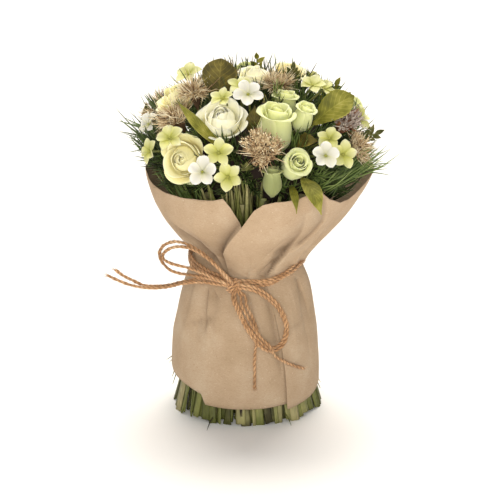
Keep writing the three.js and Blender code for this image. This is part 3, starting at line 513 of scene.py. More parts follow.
# Sharp creases from (azimuth, height) to (azimuth, height), with how far they stand in or out.
CREASES = [
    ((-70, 138), (-33, 128), -1.6), ((-33, 128), (-16, 124), -2.2), ((28, 160), (12, 134), -2.0),
    ((44, 148), (20, 127), 1.4), ((2, 138), (4, 124), -0.9), ((-10, 108), (2, 70), 0.7),
    ((4, 112), (16, 62), -0.6), ((-34, 84), (-34, 52), 0.5), ((-46, 82), (-46, 54), -0.5),
    ((-46, 54), (-32, 52), 0.5), ((-58, 104), (-62, 30), 0.7), ((56, 100), (62, 34), -0.8),
    ((70, 82), (46, 66), -0.9), ((40, 104), (44, 50), 0.6), ((-20, 104), (-22, 44), -0.5),
    ((88, 176), (74, 138), 1.0), ((60, 178), (52, 150), -1.0), ((-60, 178), (-66, 146), -0.8),
    ((-30, 182), (-40, 150), 0.8), ((-84, 104), (-88, 60), 0.8),
]
GATHERS, CRUMPLES = 44, 70
TIE_MIDDLE = 121
# Sharp folds: a line of (azimuth, height) points, how deep the sheet drops on its right-hand side,
# how far away it has risen again, and the share of the depth at its first and last point.
FOLD_STEP = 2.0  # the breadth of the drop
FOLDS = [
    ([(-51, 161), (-44, 155), (-39, 149.5), (-36.5, 143), (-34, 138)], 8.5, 22, 0.35, 1.0),
    ([(-34, 138), (-30, 132), (-24, 126)], 8.5, 12, 1.0, 0.4),
    ([(32, 180), (35.5, 158), (35.8, 148), (34.6, 141.5)], 12, 14, 0.1, 0.7),
    ([(34.6, 141.5), (32.6, 133.5), (28.7, 125.6), (22.6, 119)], 12, 9, 0.7, 1.0),
    ([(40, 192), (49, 168), (47, 156), (43, 149)], 6, 15, 0.4, 0.7),
    ([(3, 187), (-3, 170), (-11, 156), (-18, 143), (-19, 130)], 9, 11, 0.45, 1.0),
    ([(4.5, 126), (1.2, 118)], 5.0, 4, 0.6, 1.0),
    ([(13, 134), (6.5, 126.5)], 3.0, 4, 0.2, 0.8),
    ([(20, 112), (24, 94), (28, 70), (31, 45)], 5.0, 6, 1.0, 0.4),
    ([(-41, 106), (-38, 92), (-35.4, 80)], 5.0, 6, 0.7, 0.8),
    ([(-35.4, 82), (-52, 77)], 5.0, 7, 0.9, 0.3),
    ([(-38, 110), (-31, 106)], 6.0, 4, 0.5, 1.0),
    ([(-60, 108), (-56, 92), (-58, 76)], 3.0, 7, 0.9, 0.3),
    ([(84, 77), (62, 81), (36, 74)], 3.5, 10, 0.0, 0.5),
    ([(62, 112), (68, 98), (70, 82)], 3.5, 8, 1.0, 0.3),
    ([(3, 106), (7, 96), (10, 84)], 3.5, 7, 1.0, 0.1),
    ([(-24, 111), (-27, 84), (-25, 60)], 1.6, 9, 0.9, 0.0),
    ([(112, 122), (122, 144), (118, 170)], 8.0, 15, 0.9, 0.1),
    ([(-95, 124), (-104, 142), (-100, 168)], 7.0, 13, 0.9, 0.1),
    ([(165, 124), (172, 146), (166, 176)], 8.0, 16, 0.9, 0.1),
    ([(-150, 126), (-158, 148), (-152, 172)], 7.0, 14, 0.9, 0.1),
    ([(140, 112), (132, 84), (136, 50)], 3.5, 12, 0.9, 0.1),
    ([(-172, 114), (-166, 88), (-172, 52)], 3.5, 12, 0.9, 0.1),
    ([(-120, 116), (-112, 90), (-118, 58)], 3.2, 12, 0.9, 0.1),
]


def smooth(share):
    """An even ease from 0 to 1, held flat beyond both ends."""
    share = np.clip(share, 0, 1)
    return share * share * (3 - 2 * share)


def neck_offset(azimuth, height):
    """Height above the middle of the tie at that azimuth."""
    return height - neck_height(azimuth)


def necked_reach(azimuth, height):
    """The sheet's radius with no folds: the neck plus one saturating curve down and one up."""
    offset = neck_offset(azimuth, height)
    beyond = np.maximum(0, np.abs(offset) - around(azimuth, NECK_HALF_HEIGHT))
    skirt = around(azimuth, SKIRT_SWELL) * (1 - np.exp(-beyond / SKIRT_REACH))
    opening = (beyond / around(azimuth, BOWL_REACH)) ** around(azimuth, BOWL_POWER)
    bowl = around(azimuth, BOWL_DEPTH) * (1 - np.exp(-opening))
    return PAPER_NECK + np.where(offset < 0, skirt, bowl)


def fold_depth(azimuth, height):
    """How far the pleats pull in: each is a bell across, and half a sine wave from tie to end."""
    offset = neck_offset(azimuth, height)
    depth = np.zeros_like(offset)
    for at, drift, deep, width, up, down in PLEATS:
        reach = np.where(offset > 0, offset / max(up, 1e-6), -offset / max(down, 1e-6))
        side = turned(azimuth, at + drift * offset)
        swell = np.sin(np.pi * (0.1 + 0.9 * np.minimum(reach, 1)))
        depth += np.where(reach < 1, deep * swell * np.exp(-((side / width) ** 2)), 0)
    return depth


def beside(x, y, first, last):
    """Where points lie by the run from first to last: the share of it at the nearest place, how
    far off it they are, and how far to its right."""
    run = last - first
    long = np.hypot(*run)
    x, y = x - first[0], y - first[1]
    t = np.clip((x * run[0] + y * run[1]) / long**2, 0, 1)
    return t, np.hypot(x - t * run[0], y - t * run[1]), (x * run[1] - y * run[0]) / long


def unrolled(azimuth, at):
    """The length round the sheet from that azimuth."""
    return np.radians(turned(azimuth, at)) * PAPER_MEAN_RADIUS


def crease_height(azimuth, height, creases):
    """Sharp ridges and valleys: each falls off steeply with the distance from its line."""
    total = np.zeros_like(azimuth)
    for (a0, z0), (a1, z1), stand in creases:
        last = np.array([np.radians(a1 - a0) * PAPER_MEAN_RADIUS, z1])
        t, gap, _ = beside(unrolled(azimuth, a0), height, np.array([0, z0]), last)
        total += stand * np.exp(-gap / 3.2) * np.sin(np.pi * (0.15 + 0.8 * t)) ** 0.7
    return total


def fold_drop(azimuth, height):
    """Sharp folds, and the painted shade that darkens the colour of each point beside one.

    Beside the nearest part of each line the sheet steps down on one side, within FOLD_STEP, and
    comes back up with distance. The depth runs evenly between the line's ends.
    """
    deepest, painted_fold_shade = np.zeros_like(azimuth), np.zeros_like(azimuth)
    for points, depth, fall, first, last in FOLDS:
        line = np.array(points, float)
        x = unrolled(azimuth, line[0, 0])
        line[:, 0] = np.radians(line[:, 0] - line[0, 0]) * PAPER_MEAN_RADIUS
        parts = np.array([beside(x, height, *line[k : k + 2]) for k in range(len(line) - 1)])
        closest = parts[:, 1].argmin(0)
        t, nearest, side = np.take_along_axis(parts, closest[None, None], axis=0)[0]
        share = (closest + t) / (len(line) - 1)
        fade = np.exp(-nearest / fall) * np.clip(np.abs(side) / (nearest + 0.2), 0, 1)
        step = depth * (first + (last - first) * share) * smooth(side / FOLD_STEP) * fade
        deepest = np.maximum(deepest, step)
        # Painted shade: darkest right beside a deep step on its low side, lighter with distance from the
        # line.
        painted_fold_shade = np.maximum(painted_fold_shade, np.minimum(step / 5, 1) * np.exp(-np.abs(side) / (0.5 * fall)))
    return -deepest, painted_fold_shade


def ripple(azimuth, height, seed, count, tightest, widest):
    """Random smooth waves round and up the sheet, of a wavelength in millimetres."""
    draw = np.random.default_rng(seed)
    total = np.zeros_like(azimuth)
    arc = np.radians(azimuth) * PAPER_MEAN_RADIUS
    for _ in range(count):
        way = draw.uniform(0, np.pi)
        wave = 2 * np.pi / draw.uniform(tightest, widest)
        total += np.sin(wave * (arc * np.cos(way) + height * np.sin(way)) + draw.uniform(0, 6.3))
    return total / np.sqrt(count)


def sheet_height(u, v):
    """Height on the sheet: a skirt row block, a neck row that follows the tie, and a bowl block."""
    hem, neck, rim = (first + (last - first) * u for first, last in (HEM_SPAN, NECK_SPAN, RIM_SPAN))
    hem, neck, rim = np.interp(hem, *zip(*BOTTOM_EDGE)), neck_height(neck), np.interp(rim, *zip(*TOP_EDGE))
    row = (SKIRT_STEPS + TIE_STEPS + BOWL_STEPS) * v
    above = row - SKIRT_STEPS
    skirt = hem + (neck - NECK_ROW - hem) * row / SKIRT_STEPS
    waist = neck + NECK_ROW * (2 * above - 1)
    bowl = neck + NECK_ROW + (rim - neck - NECK_ROW) * (above - TIE_STEPS) / BOWL_STEPS
    return np.where(above < 0, skirt, np.where(above < TIE_STEPS, waist, bowl))


def small_creases(draw):
    """Two lists of random creases: gathers that run up and down from the tie, and slight crumples."""
    first = np.linspace(-175, 175, GATHERS) + draw.uniform(-4, 4, GATHERS)
    ways = np.tile([1, -1], GATHERS // 2)
    stands = draw.uniform(0.5, 1.1, GATHERS) * draw.choice([-1, 1], GATHERS)
    gathers = [
        ((a, TIE_MIDDLE + 6 * way), (a + draw.uniform(-9, 9), TIE_MIDDLE + way * draw.uniform(20, 48)), s)
        for a, way, s in zip(first, ways, stands)
    ]
    first, heights = draw.uniform(-180, 180, CRUMPLES), draw.uniform(25, 190, CRUMPLES)
    stands = draw.uniform(-0.4, 0.4, CRUMPLES)
    crumples = [
        ((a, z), (a + draw.uniform(-22, 22), z + draw.uniform(-26, 26)), s)
        for a, z, s in zip(first, heights, stands)
    ]
    return gathers, crumples


def puff(azimuth, height):
    """How far the sheet comes out just above the tie on the right, and how far it hangs down there."""
    first, last, out, down = PUFF
    turn = azimuth % 360
    swell = smooth((turn - first) / 9) * smooth((last - turn) / 16)
    above = neck_offset(azimuth, height)
    out = swell * out * smooth((above - 0.5) / 2) * np.exp(-np.maximum(above - 2.5, 0) / 9)
    return out, swell * down * smooth((above - 1) / 2.5) * np.exp(-np.maximum(above - 3.5, 0) / 5)


def paper_points(columns, rows):
    """The sheet's middle surface, and the painted shade in its folds at each point.

    Azimuth and height come from the edges, and the radius from the neck and the folds.
    The grid is closest where the folds are: at both ends round the sheet, and at the tie.
    """
    u, v = np.meshgrid(np.linspace(0, 1, columns), np.linspace(0, 1, rows))
    u = u - 0.55 * np.sin(2 * np.pi * u) / (2 * np.pi)
    v = v + 0.45 * np.sin(2 * np.pi * v) / (2 * np.pi)
    height = sheet_height(u, v)
    start = np.interp(height, *zip(*OUTER_EDGE))
    azimuth = start + u * (np.interp(height, *zip(*INNER_EDGE)) - start)
    # Small creases and ripples die out towards the tie, and the free edge lifts off the lap.
    offset = np.abs(neck_offset(azimuth, height))
    loose = np.clip((offset - 5) / 12, 0, 1)
    near_tie = np.clip((offset - 1) / 5, 0, 1)
    gathers, crumples = small_creases(np.random.default_rng(23))
    drop, painted_fold_shade = fold_drop(azimuth, height)
    radius = necked_reach(azimuth, height) - fold_depth(azimuth, height)
    radius += PAPER_LAP_GAP * (1 - smooth(u / LAP_EASE)) + near_tie * drop
    radius += loose * crease_height(azimuth, height, CREASES)
    radius += np.clip((offset - 4) / 6, 0, 1) * crease_height(azimuth, height, gathers)
    radius += loose * crease_height(azimuth, height, crumples)
    radius += 0.3 * loose * ripple(azimuth, height, 7, 9, 26, 70)
    radius += np.clip((height - 165) / 30, 0, 1) * ripple(azimuth, height, 8, 6, 40, 90)
    out, down = puff(azimuth, height)
    radius = np.maximum(radius, np.interp(height, *zip(*STEM_ROOM))) + out
    height = height - down
    height += 0.5 * ripple(azimuth, height, 9, 8, 9, 30) * (v > 0.999)
    return polar(azimuth, radius, height), painted_fold_shade * near_tie


def kraft():
    """Unbleached kraft paper: matt, warm tan, with fine long fibres, dark flecks, a soft mottle and painted
    shade beside the folds.
    """
    finish, tree, shader = new_finish("kraft paper", Roughness=0.82, Specular_IOR_Level=0.3)
    place = add_node(tree, "TexCoord", "Object")
    painted_fold_shade = add_node(tree, "Attribute", "Fac", attribute_name="shade")
    grain = add_node(tree, "Mapping", "Vector", {"Vector": place, "Scale": (1.0, 1.0, 4.0)})
    pulp = {"Vector": grain, "Scale": 520.0, "Detail": 6.0, "Roughness": 0.7}
    pulp = add_node(tree, "TexNoise", "Fac", pulp)
    mottle = add_node(tree, "TexNoise", "Fac", {"Vector": place, "Scale": 38.0, "Detail": 3.0})
    both = add_node(tree, "Math", 0, {0: pulp, 1: mottle}, operation="ADD")
    half = add_node(tree, "Math", 0, {0: both, 1: 0.5}, operation="MULTIPLY")
    tans = [(0.3, "#a0886a"), (0.5, "#b39a7e"), (0.7, "#c1ad93")]
    tan = add_node(tree, "ValToRGB", "Color", {"Fac": half}, tans)
    fleck = add_node(tree, "TexNoise", "Fac", {"Vector": grain, "Scale": 900.0, "Detail": 1.0})
    dark = add_node(tree, "MapRange", 0, {"Value": fleck, "From Min": 0.69, "From Max": 0.75})
    flecked = add_node(tree, "Mix", 2, {0: dark, 6: tan, 7: linear("#8f6a45")}, data_type="RGBA")
    speck = add_node(tree, "TexNoise", "Fac", {"Vector": place, "Scale": 700.0, "Detail": 1.0})
    pale = {"Value": speck, "From Min": 0.7, "From Max": 0.78, "To Max": 0.5}
    pale = add_node(tree, "MapRange", 0, pale)
    specked = add_node(tree, "Mix", 2, {0: pale, 6: flecked, 7: linear("#d8c8b0")}, data_type="RGBA")
    # Painted shade: beside the sharp folds the colour goes towards a dark brown.
    folded = add_node(tree, "Mix", 2, {0: painted_fold_shade, 6: specked, 7: linear("#4f3c2a")}, data_type="RGBA")
    relief = add_node(tree, "Bump", "Normal", {"Height": both, "Strength": 0.35, "Distance": 0.4 * MM})
    tree.links.new(folded, shader.inputs["Base Color"])
    tree.links.new(relief, shader.inputs["Normal"])
    return finish


def add_sheet(name, points, finish, slot, shade, replaces, thickness):
    """A piece made of open sheets with a real thickness."""
    piece = add_piece(name, points, finish, shade, replaces)
    wall = piece.modifiers.new("thickness", "SOLIDIFY")
    wall.thickness = thickness * MM
    wall.offset = 0.0


sheet, painted_fold_shade = (grid[None, :, ::-1] for grid in paper_points(*PAPER_GRID))
add_sheet("kraft_wrap", sheet, kraft(), "kraft_paper", painted_fold_shade, ("paper_wrap",), PAPER_THICKNESS)


# ---------------------------------------------------------------- cut stems
# Flat dried stems stand side by side in rings. They are cut level at the foot, packed tight under
# the twine, and spread again behind the rim of the paper.
STEM_RINGS = [(4, 3), (12, 9), (20, 14), (28, 20), (36, 26), (44, 34), (51, 46), (57, 68)]
STEM_FOOT = 58.0
SHEAF_HEIGHTS = [0, 20, 46, 105, 130, 150, 186]
SHEAF_REACH = [59.2, 54.8, 49.5, 38.5, 37.5, 42.5, 65.0]
STEM_TOP = (176, 190)
STEM_WIDTH = (4.0, 9.5)
STEM_THICKNESS = (1.2, 2.4)


def stem_lines(draw):
    """One line for each stem: its ring's share of the sheaf's reach at each height, a little bent."""
    radii, counts = zip(*STEM_RINGS)
    ring, spread = np.repeat(radii, counts), np.repeat(360 / np.array(counts), counts)
    first = np.concatenate([(np.arange(count) + 0.5 * (k % 2)) / count for k, count in enumerate(counts)])
    azimuth = 360 * first + spread * draw.uniform(-0.3, 0.3, len(ring))
    ring = ring + draw.uniform(-1.4, 0.9, len(ring))
    foot = np.where(draw.uniform(size=len(ring)) < 0.4, 0.0, draw.uniform(0, 3.5, len(ring)))
    top = draw.uniform(*STEM_TOP, len(ring))
    rise = np.linspace(0, 1, 22) ** 1.15
    height = foot[:, None] + (top - foot)[:, None] * rise
    reach = np.interp(height, SHEAF_HEIGHTS, SHEAF_REACH) * (ring / STEM_FOOT)[:, None]
    low = np.exp(-height / 24)
    turn = np.radians(azimuth)[:, None]
    reach *= 1 + low * (0.03 * np.sin(turn) ** 2 - 0.06 * np.maximum(np.cos(turn), 0) ** 2)
    lean = draw.uniform(-4.5, 4.5, len(ring))[:, None] * low
    twist = draw.uniform(-14, 14, len(ring))[:, None] * height / 190
    return polar(azimuth[:, None] + lean + twist, reach, height), ring, azimuth


def rotated(x, y, angle):
    """x and y turned about the origin by the angle."""
    cos, sin = np.cos(angle), np.sin(angle)
    return x * cos - y * sin, x * sin + y * cos


def bowed(start, end, rows, bow=0.0, way=(0.0, 0.0, 1.0)):
    """Lines from starts to ends that bow out by a half sine, as far as bow, along way."""
    share = np.linspace(0, 1, rows)[None, :, None]
    start, end = np.atleast_2d(start)[:, None], np.atleast_2d(end)[:, None]
    bow = np.asarray(bow, float).reshape(-1, 1, 1)
    return start + (end - start) * share + bow * np.sin(np.pi * share) * np.asarray(way, float)


def stem_finish():
    """Dried grass stem: satin, lengthwise streaks, fresh green to straw from stem to stem."""
    finish, tree, shader = new_finish("dried stem", Roughness=0.55, Specular_IOR_Level=0.35)
    place = add_node(tree, "TexCoord", "Object")
    tone = add_node(tree, "Attribute", "Fac", attribute_name="shade")
    along = add_node(tree, "Mapping", "Vector", {"Vector": place, "Scale": (1.0, 1.0, 0.06)})
    streak = add_node(tree, "TexNoise", "Fac", {"Vector": along, "Scale": 900.0, "Detail": 4.0})
    greens = [(0.0, "#35261f"), (0.2, "#4d4a24"), (0.45, "#6e7336"), (0.8, "#8b8e4c"), (1.0, "#b3a878")]
    green = add_node(tree, "ValToRGB", "Color", {"Fac": tone}, greens)
    greys = [(0.25, "#5a5a5a"), (0.75, "#b4b4b4")]
    grey = add_node(tree, "ValToRGB", "Color", {"Fac": streak}, greys)
    streaked = add_node(
        tree, "Mix", 2, {0: 0.6, 6: green, 7: grey}, data_type="RGBA", blend_type="OVERLAY"
    )
    fade = add_node(tree, "TexNoise", "Fac", {"Vector": place, "Scale": 60.0, "Detail": 2.0})
    dry = {"Value": fade, "From Min": 0.55, "From Max": 0.75, "To Max": 0.5}
    dry = add_node(tree, "MapRange", 0, dry)
    colour = add_node(tree, "Mix", 2, {0: dry, 6: streaked, 7: linear("#a8a468")}, data_type="RGBA")
    relief = add_node(tree, "Bump", "Normal", {"Height": streak, "Strength": 0.4, "Distance": 0.4 * MM})
    tree.links.new(colour, shader.inputs["Base Color"])
    tree.links.new(relief, shader.inputs["Normal"])
    return finish


draw = np.random.default_rng(31)
lines, ring, azimuth = stem_lines(draw)
width = draw.uniform(*STEM_WIDTH, len(lines)) * np.where(draw.uniform(size=len(lines)) < 0.18, 0.45, 1)
thick = draw.uniform(*STEM_THICKNESS, len(lines))
# A flat straw: rounded edges, and a shallow groove down its outer face.
outline = np.array(
    [(-0.5, 0.0), (-0.32, -0.42), (0.3, -0.5), (0.5, 0.0), (0.26, 0.46), (0.0, 0.26), (-0.28, 0.5)]
)
size = np.stack([width, thick], axis=-1)[:, None, None]
squeeze = np.interp(lines[..., 2], [0, 60, 120, 190], [1.0, 0.8, 0.62, 0.7])[..., None, None]
spin = np.radians(draw.normal(0, 16, len(lines)))[:, None, None]
sections = np.stack(rotated(*np.moveaxis(outline * size * squeeze, -1, 0), spin), axis=-1)
shade = np.clip(draw.normal(0.52, 0.27, len(lines)), 0.02, 1)
stem_look = stem_finish()
sheaf = tubes(lines, polar(azimuth, 1.0, 0.0)[:, None], sections)
add_closed("stem_sheaf", sheaf, stem_look, shade, ("stem_bundle",))
# A few thin blades have worked loose, and stick out under the hem: root, tip, width, tone.
STRAY_ARCH = 1.5
STRAYS = [
    ((-54, 9, 37), (-66, 5, 33.5), 1.2, 0.5), ((-54, 12, 36), (-64, 8, 30), 1.1, 0.65),
    ((-55, 7, 36), (-61.5, 2, 31), 1.6, 0.3), ((-55, 4, 34), (-61, -3, 22), 1.3, 0.7),
    ((-54, 0, 32), (-60.5, -7, 17), 1.1, 0.45), ((52, 10, 22), (60, 2, 10), 1.3, 0.5),
    ((51, 14, 22), (60.5, 8, 13), 1.0, 0.7), ((53, 4, 20), (58.5, -6, 8), 1.5, 0.35),
    ((-27, -52, 6), (-31.5, -66, 0.7), 1.0, 0.05), ((30, -48, 8), (35, -57, 1.2), 1.1, 0.5),
    ((10, 55, 18), (15, 66, 8), 1.2, 0.5), ((-30, 50, 16), (-36, 60, 6), 1.2, 0.5),
]
root, tip, width, shade = (np.array(column, float) for column in zip(*STRAYS))
lines = bowed(root, tip, 8, STRAY_ARCH)
width = width[:, None] * (1 - 0.75 * np.linspace(0, 1, 8) ** 2)
blade = np.array([(-0.5, 0.0), (0.0, -0.14), (0.5, 0.0), (0.0, 0.14)]) * width[..., None, None]
add_closed("stray_blades", tubes(lines, FRONT, blade), stem_look, shade)


# ---------------------------------------------------------------- roses
# Silk-like garden roses stand on stalks that spring from the middle of the sheaf. A tight spiral
# heart sits in rings of cupped petals, and the outer petals lie open with rolled rims.
DOME_CENTRE = np.array([7.0, 0.0, 206.0])
DOME_ACROSS, DOME_HIGH = 92.0, 70.0
CORE_ACROSS, CORE_HIGH, CORE_BOTTOM = 60.0, 43.0, 172.0
STALK_DEPTH = 7.0
STALK_TONE = 0.42
ROSE_STALK = 1.5  # a stalk's radius, as for the other flowers
PETAL_THICKNESS = 0.3
# Azimuth, angle from the top and lift on the dome; the way it faces; spin; radius.
ROSES = [
    ((-43, 77, -10), (-0.3, -0.9, 0.3), 0, 18.5),
    ((-27, 44, -12), (-0.05, -0.6, 0.8), 0, 20),
    ((-26, 3, -4), (0.05, -0.2, 0.98), 0, 12.5),
    ((-85, 44, -3), (-0.35, -0.3, 0.88), 11, 17),
    ((99, 17, 0), (0.2, -0.3, 0.93), 0, 12),
    ((165, 62, -11), (0.2, 0.85, 0.5), 0, 20),
    ((-142, 58, -11), (-0.5, 0.75, 0.5), 0, 19),
]
# Rings of rose petals, in shares of the radius: count, first turn, span, belly radius, rim radius,
# root height, rim height, outward roll, and how far one side tucks inside its neighbour.
ROSE_RINGS = [
    (3, 10, 240, 0.17, 0.03, -0.30, 0.50, 0.00, 0.04),
    (3, 70, 210, 0.33, 0.13, -0.40, 0.53, 0.00, 0.05),
    (3, 20, 185, 0.50, 0.32, -0.50, 0.51, 0.02, 0.05),
    (3, 85, 165, 0.66, 0.66, -0.60, 0.38, 0.08, 0.05),
    (4, 40, 118, 0.76, 0.98, -0.66, 0.10, 0.10, 0.04),
]


def dome_place(azimuth, angle, lift):
    """A place on the flower dome: its ellipsoid at that azimuth and angle from the top, lifted."""
    angle = np.radians(angle)
    flat = polar(azimuth, np.sin(angle), 0.0)
    rise = np.array([0.0, 0.0, np.cos(angle)])
    normal = unit(flat / DOME_ACROSS + rise / DOME_HIGH)
    return DOME_CENTRE + flat * DOME_ACROSS + rise * DOME_HIGH + lift * normal


def core_root(point):
    """Where a stalk to that point springs from: on the core's ellipsoid, less the stalk's depth."""
    out = np.asarray(point, float) - DOME_CENTRE
    reach = np.linalg.norm(out)
    share = np.linalg.norm(out / (CORE_ACROSS, CORE_ACROSS, CORE_HIGH))
    return DOME_CENTRE + out / reach * (reach / share - STALK_DEPTH)


def seated(points, place, face, spin=0.0):
    """Points made about +Z, turned to look along face, spun about it and moved to their place."""
    aim = Vector((0, 0, 1)).rotation_difference(Vector(face).normalized()).to_matrix()
    cos, sin = np.cos(np.radians(spin)), np.sin(np.radians(spin))
    turn = np.array(aim) @ np.array([[cos, -sin, 0], [sin, cos, 0], [0, 0, 1]])
    return points @ turn.T + place


def lathed(reach, angle, rise):
    """Points at a reach and an angle round +Z, and at a height."""
    parts = np.broadcast_arrays(reach * np.cos(angle), reach * np.sin(angle), rise)
    return np.stack(parts, axis=-1)


def petal_ring(draw, ring, scale, rows=15, belly_at=0.55, drop=0.24, point=0.0, wild=1.0):
    """Petals round +Z. Each follows a cup profile: a quarter sine to the belly, then an ease to
    the rim, which rolls out. The outline drops at both sides, with a point in the middle."""
    count, first, span, belly, rim, low, high, roll, tuck = ring
    v, u = np.meshgrid(np.linspace(0, 1, rows), np.linspace(-1, 1, 19), indexing="ij")
    tall, wide, open_out, phase = (
        draw.uniform(a, b, (count, 1, 1))
        for a, b in ((-0.05, 0.05), (0.94, 1.06), (-0.04, 0.05), (0, 6.3))
    )
    turn = first + (np.arange(count) * 360 / count)[:, None, None]
    turn = turn + wild * draw.uniform(-9, 9, (count, 1, 1))
    reach_up = v * (1 - drop * np.abs(u) ** 3.4 + point * (1 - np.abs(u)) ** 2)
    out = belly * np.sin(np.pi / 2 * np.clip(reach_up / belly_at, 0.06, 1)) ** 0.8
    out = out + (rim - belly + wild * open_out) * smooth((reach_up - belly_at) / (1 - belly_at))
    up = low + (high + wild * tall - low) * reach_up
    near_rim = np.clip((reach_up - 0.7) / 0.3, 0, 1.3)
    frill = 0.02 * wild * near_rim * np.sin(2.7 * u * wide + phase)
    out = out + roll * near_rim**2 + tuck * u + frill + 0.4 * roll * near_rim * u * u
    up = up - 0.8 * roll * near_rim**3 + 0.7 * frill
    breadth = 0.55 + 0.45 * np.sin(np.pi * (0.1 + 0.72 * v))
    angle = np.radians(turn + u * span / 2 * wide * breadth)
    return scale * lathed(out, angle, up)


def petal_shade(petals, draw, inner, outer):
    """Tone over each petal: from inner at its root to outer at its rim, a little apart by petal."""
    rise = np.linspace(0, 1, petals.shape[1])[None, :, None]
    own = draw.uniform(-0.08, 0.08, (len(petals), 1, 1))
    return np.clip(inner + (outer - inner) * rise + own, 0, 1)


def petal_finish(name, stops, veins=0.5, glow=0.35):
    """Dried or silk petal: matt with a faint sheen, light let through, fine veins root to rim."""
    finish, tree, shader = new_finish(
        name, Roughness=0.62, Sheen_Weight=0.12, Specular_IOR_Level=0.3, Subsurface_Weight=glow,
        Subsurface_Radius=(1.0, 0.9, 0.5), Subsurface_Scale=3.0 * MM,
    )
    place = add_node(tree, "TexCoord", "Object")
    tone = add_node(tree, "Attribute", "Fac", attribute_name="shade")
    spread = add_node(tree, "UVMap", "UV", uv_map="surface")
    fan = add_node(tree, "Mapping", "Vector", {"Vector": spread, "Scale": (26.0, 1.6, 1.0)})
    vein = add_node(tree, "TexNoise", "Fac", {"Vector": fan, "Scale": 1.0, "Detail": 3.0})
    blotch = add_node(tree, "TexNoise", "Fac", {"Vector": place, "Scale": 130.0, "Detail": 2.0})
    mixed = add_node(tree, "Math", 0, {0: vein, 1: blotch}, operation="ADD")
    swing = {0: mixed, 1: 0.22 * veins, 2: -0.22 * veins}
    swing = add_node(tree, "Math", 0, swing, operation="MULTIPLY_ADD")
    spot = add_node(tree, "Math", 0, {0: tone, 1: swing}, operation="ADD")
    colour = add_node(tree, "ValToRGB", "Color", {"Fac": spot}, stops)
    relief = {"Height": vein, "Strength": 0.35 * veins, "Distance": 0.5 * MM}
    relief = add_node(tree, "Bump", "Normal", relief)
    tree.links.new(colour, shader.inputs["Base Color"])
    tree.links.new(relief, shader.inputs["Normal"])
    return finish


def round_sections(lines, radius, sides=6):
    """Round outlines for tubes, their radius given along each line."""
    angle = np.linspace(0, 2 * np.pi, sides, endpoint=False)
    ring = np.stack([np.cos(angle), np.sin(angle)], axis=-1)
    return np.broadcast_to(radius, lines.shape[:2])[..., None, None] * ring


def add_stalk(name, starts, ends, radius):
    """Round green stalks, a little wider at the foot."""
    lines = bowed(starts, ends, 10)
    sections = round_sections(lines, radius * np.linspace(1.25, 0.9, 10)[None])
    facing = unit(np.cross(np.gradient(lines, axis=1), (0.31, 0.95, 0.1)))
    add_closed(name, tubes(lines, facing, sections), stem_look, STALK_TONE)


def add_flower(name, rings, tones, draw, seat, look, fade):
    """A flower's rings of petals. Each ring is shaded from a tone at its root to one at its rim;
    fade is a factor on that shade and an amount added to it."""
    points = seated(np.concatenate(rings), *seat)
    shade = np.concatenate([petal_shade(ring, draw, *tone) for ring, tone in zip(rings, tones)])
    add_sheet(f"{name}_petals", points, *look, shade * fade[0] + fade[1], (name,), PETAL_THICKNESS)


cream_petal = petal_finish(
    "cream rose petal",
    [(0.0, "#c2ae66"), (0.25, "#e8d994"), (0.5, "#f6edb0"), (0.75, "#fdf8cc"), (1.0, "#fffce4")],
    glow=0.25,
)
ivory_petal = petal_finish(
    "ivory rose petal",
    [(0.0, "#c08b3c"), (0.3, "#e6c468"), (0.6, "#f5e6a0"), (1.0, "#fdf8d8")],
)
bloom_places = []
IVORY_ROSE = 4
# The tones at the root and the rim of each ring, inner ring first.
ROSE_TONES = [(0.75, 0.82), (0.75, 0.85), (0.72, 0.88), (0.6, 0.93), (0.25, 0.95)]
# Roses whose petals are a deeper or a paler cream than the rest.
ROSE_CREAM_SHIFTS = {0: -0.3, 1: 0.1, 3: -0.28, 4: -0.15}
# How freely the petals of each ring stray from their even places, inner ring first.
ROSE_LOOSENESS = (1.0, 1.2, 1.7, 2.2, 1.9)
for k, (at, face, spin, radius) in enumerate(ROSES):
    draw = np.random.default_rng(60 + k)
    place = dome_place(*at)
    rings = [petal_ring(draw, ring, radius, wild=own) for ring, own in zip(ROSE_RINGS, ROSE_LOOSENESS)]
    look = (ivory_petal, "ivory_petals") if k == IVORY_ROSE else (cream_petal, "cream_petals")
    fade = (1.0, ROSE_CREAM_SHIFTS.get(k, 0.0))
    add_flower(f"rose_{k + 1}", rings, ROSE_TONES, draw, (place, face, spin), look, fade)
    neck = place - 0.62 * radius * unit(np.array(face))
    add_stalk(f"rose_{k + 1}_stalk", core_root(neck), neck + 0.1 * (place - neck), ROSE_STALK)
    bloom_places.append((place, 0.95 * radius))


# ---------------------------------------------------------------- rose buds
# Pale lime buds, silk-like as the roses are: long smooth petals wrap a closed spiral heart, and the
# outer tips roll back. Each stands on a stalk that springs from the middle of the sheaf.
BUD_STALK = 1.6
# Azimuth, angle from the top and lift on the dome; the way it faces; radius; length.
BUDS = [
    ((12, 52, -9), (0.1, -0.28, 0.95), 14, 44),
    ((33, 30, -15), (0.1, -0.1, 0.99), 10, 28),
    ((31, 49, -2), (0.3, -0.3, 0.9), 8, 26),
    ((20, 78, -6), (0.3, -0.78, 0.55), 10.5, 25),
    ((8, 88, -6), (0, -0.05, 0.99), 7.5, 24),
    ((110, 62, -9), (0.75, 0.3, 0.6), 13, 36),
    ((-172, 38, -9), (0, 0.4, 0.92), 13, 36),
]
# Rings of bud petals, in shares of the radius; heights are in shares of half the length.
BUD_RINGS = [
    (2, 0, 270, 0.24, 0.06, -0.4, 0.86, 0.00, 0.06),
    (2, 80, 240, 0.42, 0.24, -0.8, 0.92, 0.03, 0.08),
    (3, 20, 200, 0.72, 0.46, -0.95, 0.97, 0.14, 0.08),
    (3, 75, 175, 0.92, 0.60, -1.0, 0.93, 0.40, 0.07),
]
BUD_TONES = [(0.3, 0.8), (0.3, 0.88), (0.3, 0.95), (0.34, 0.98)]
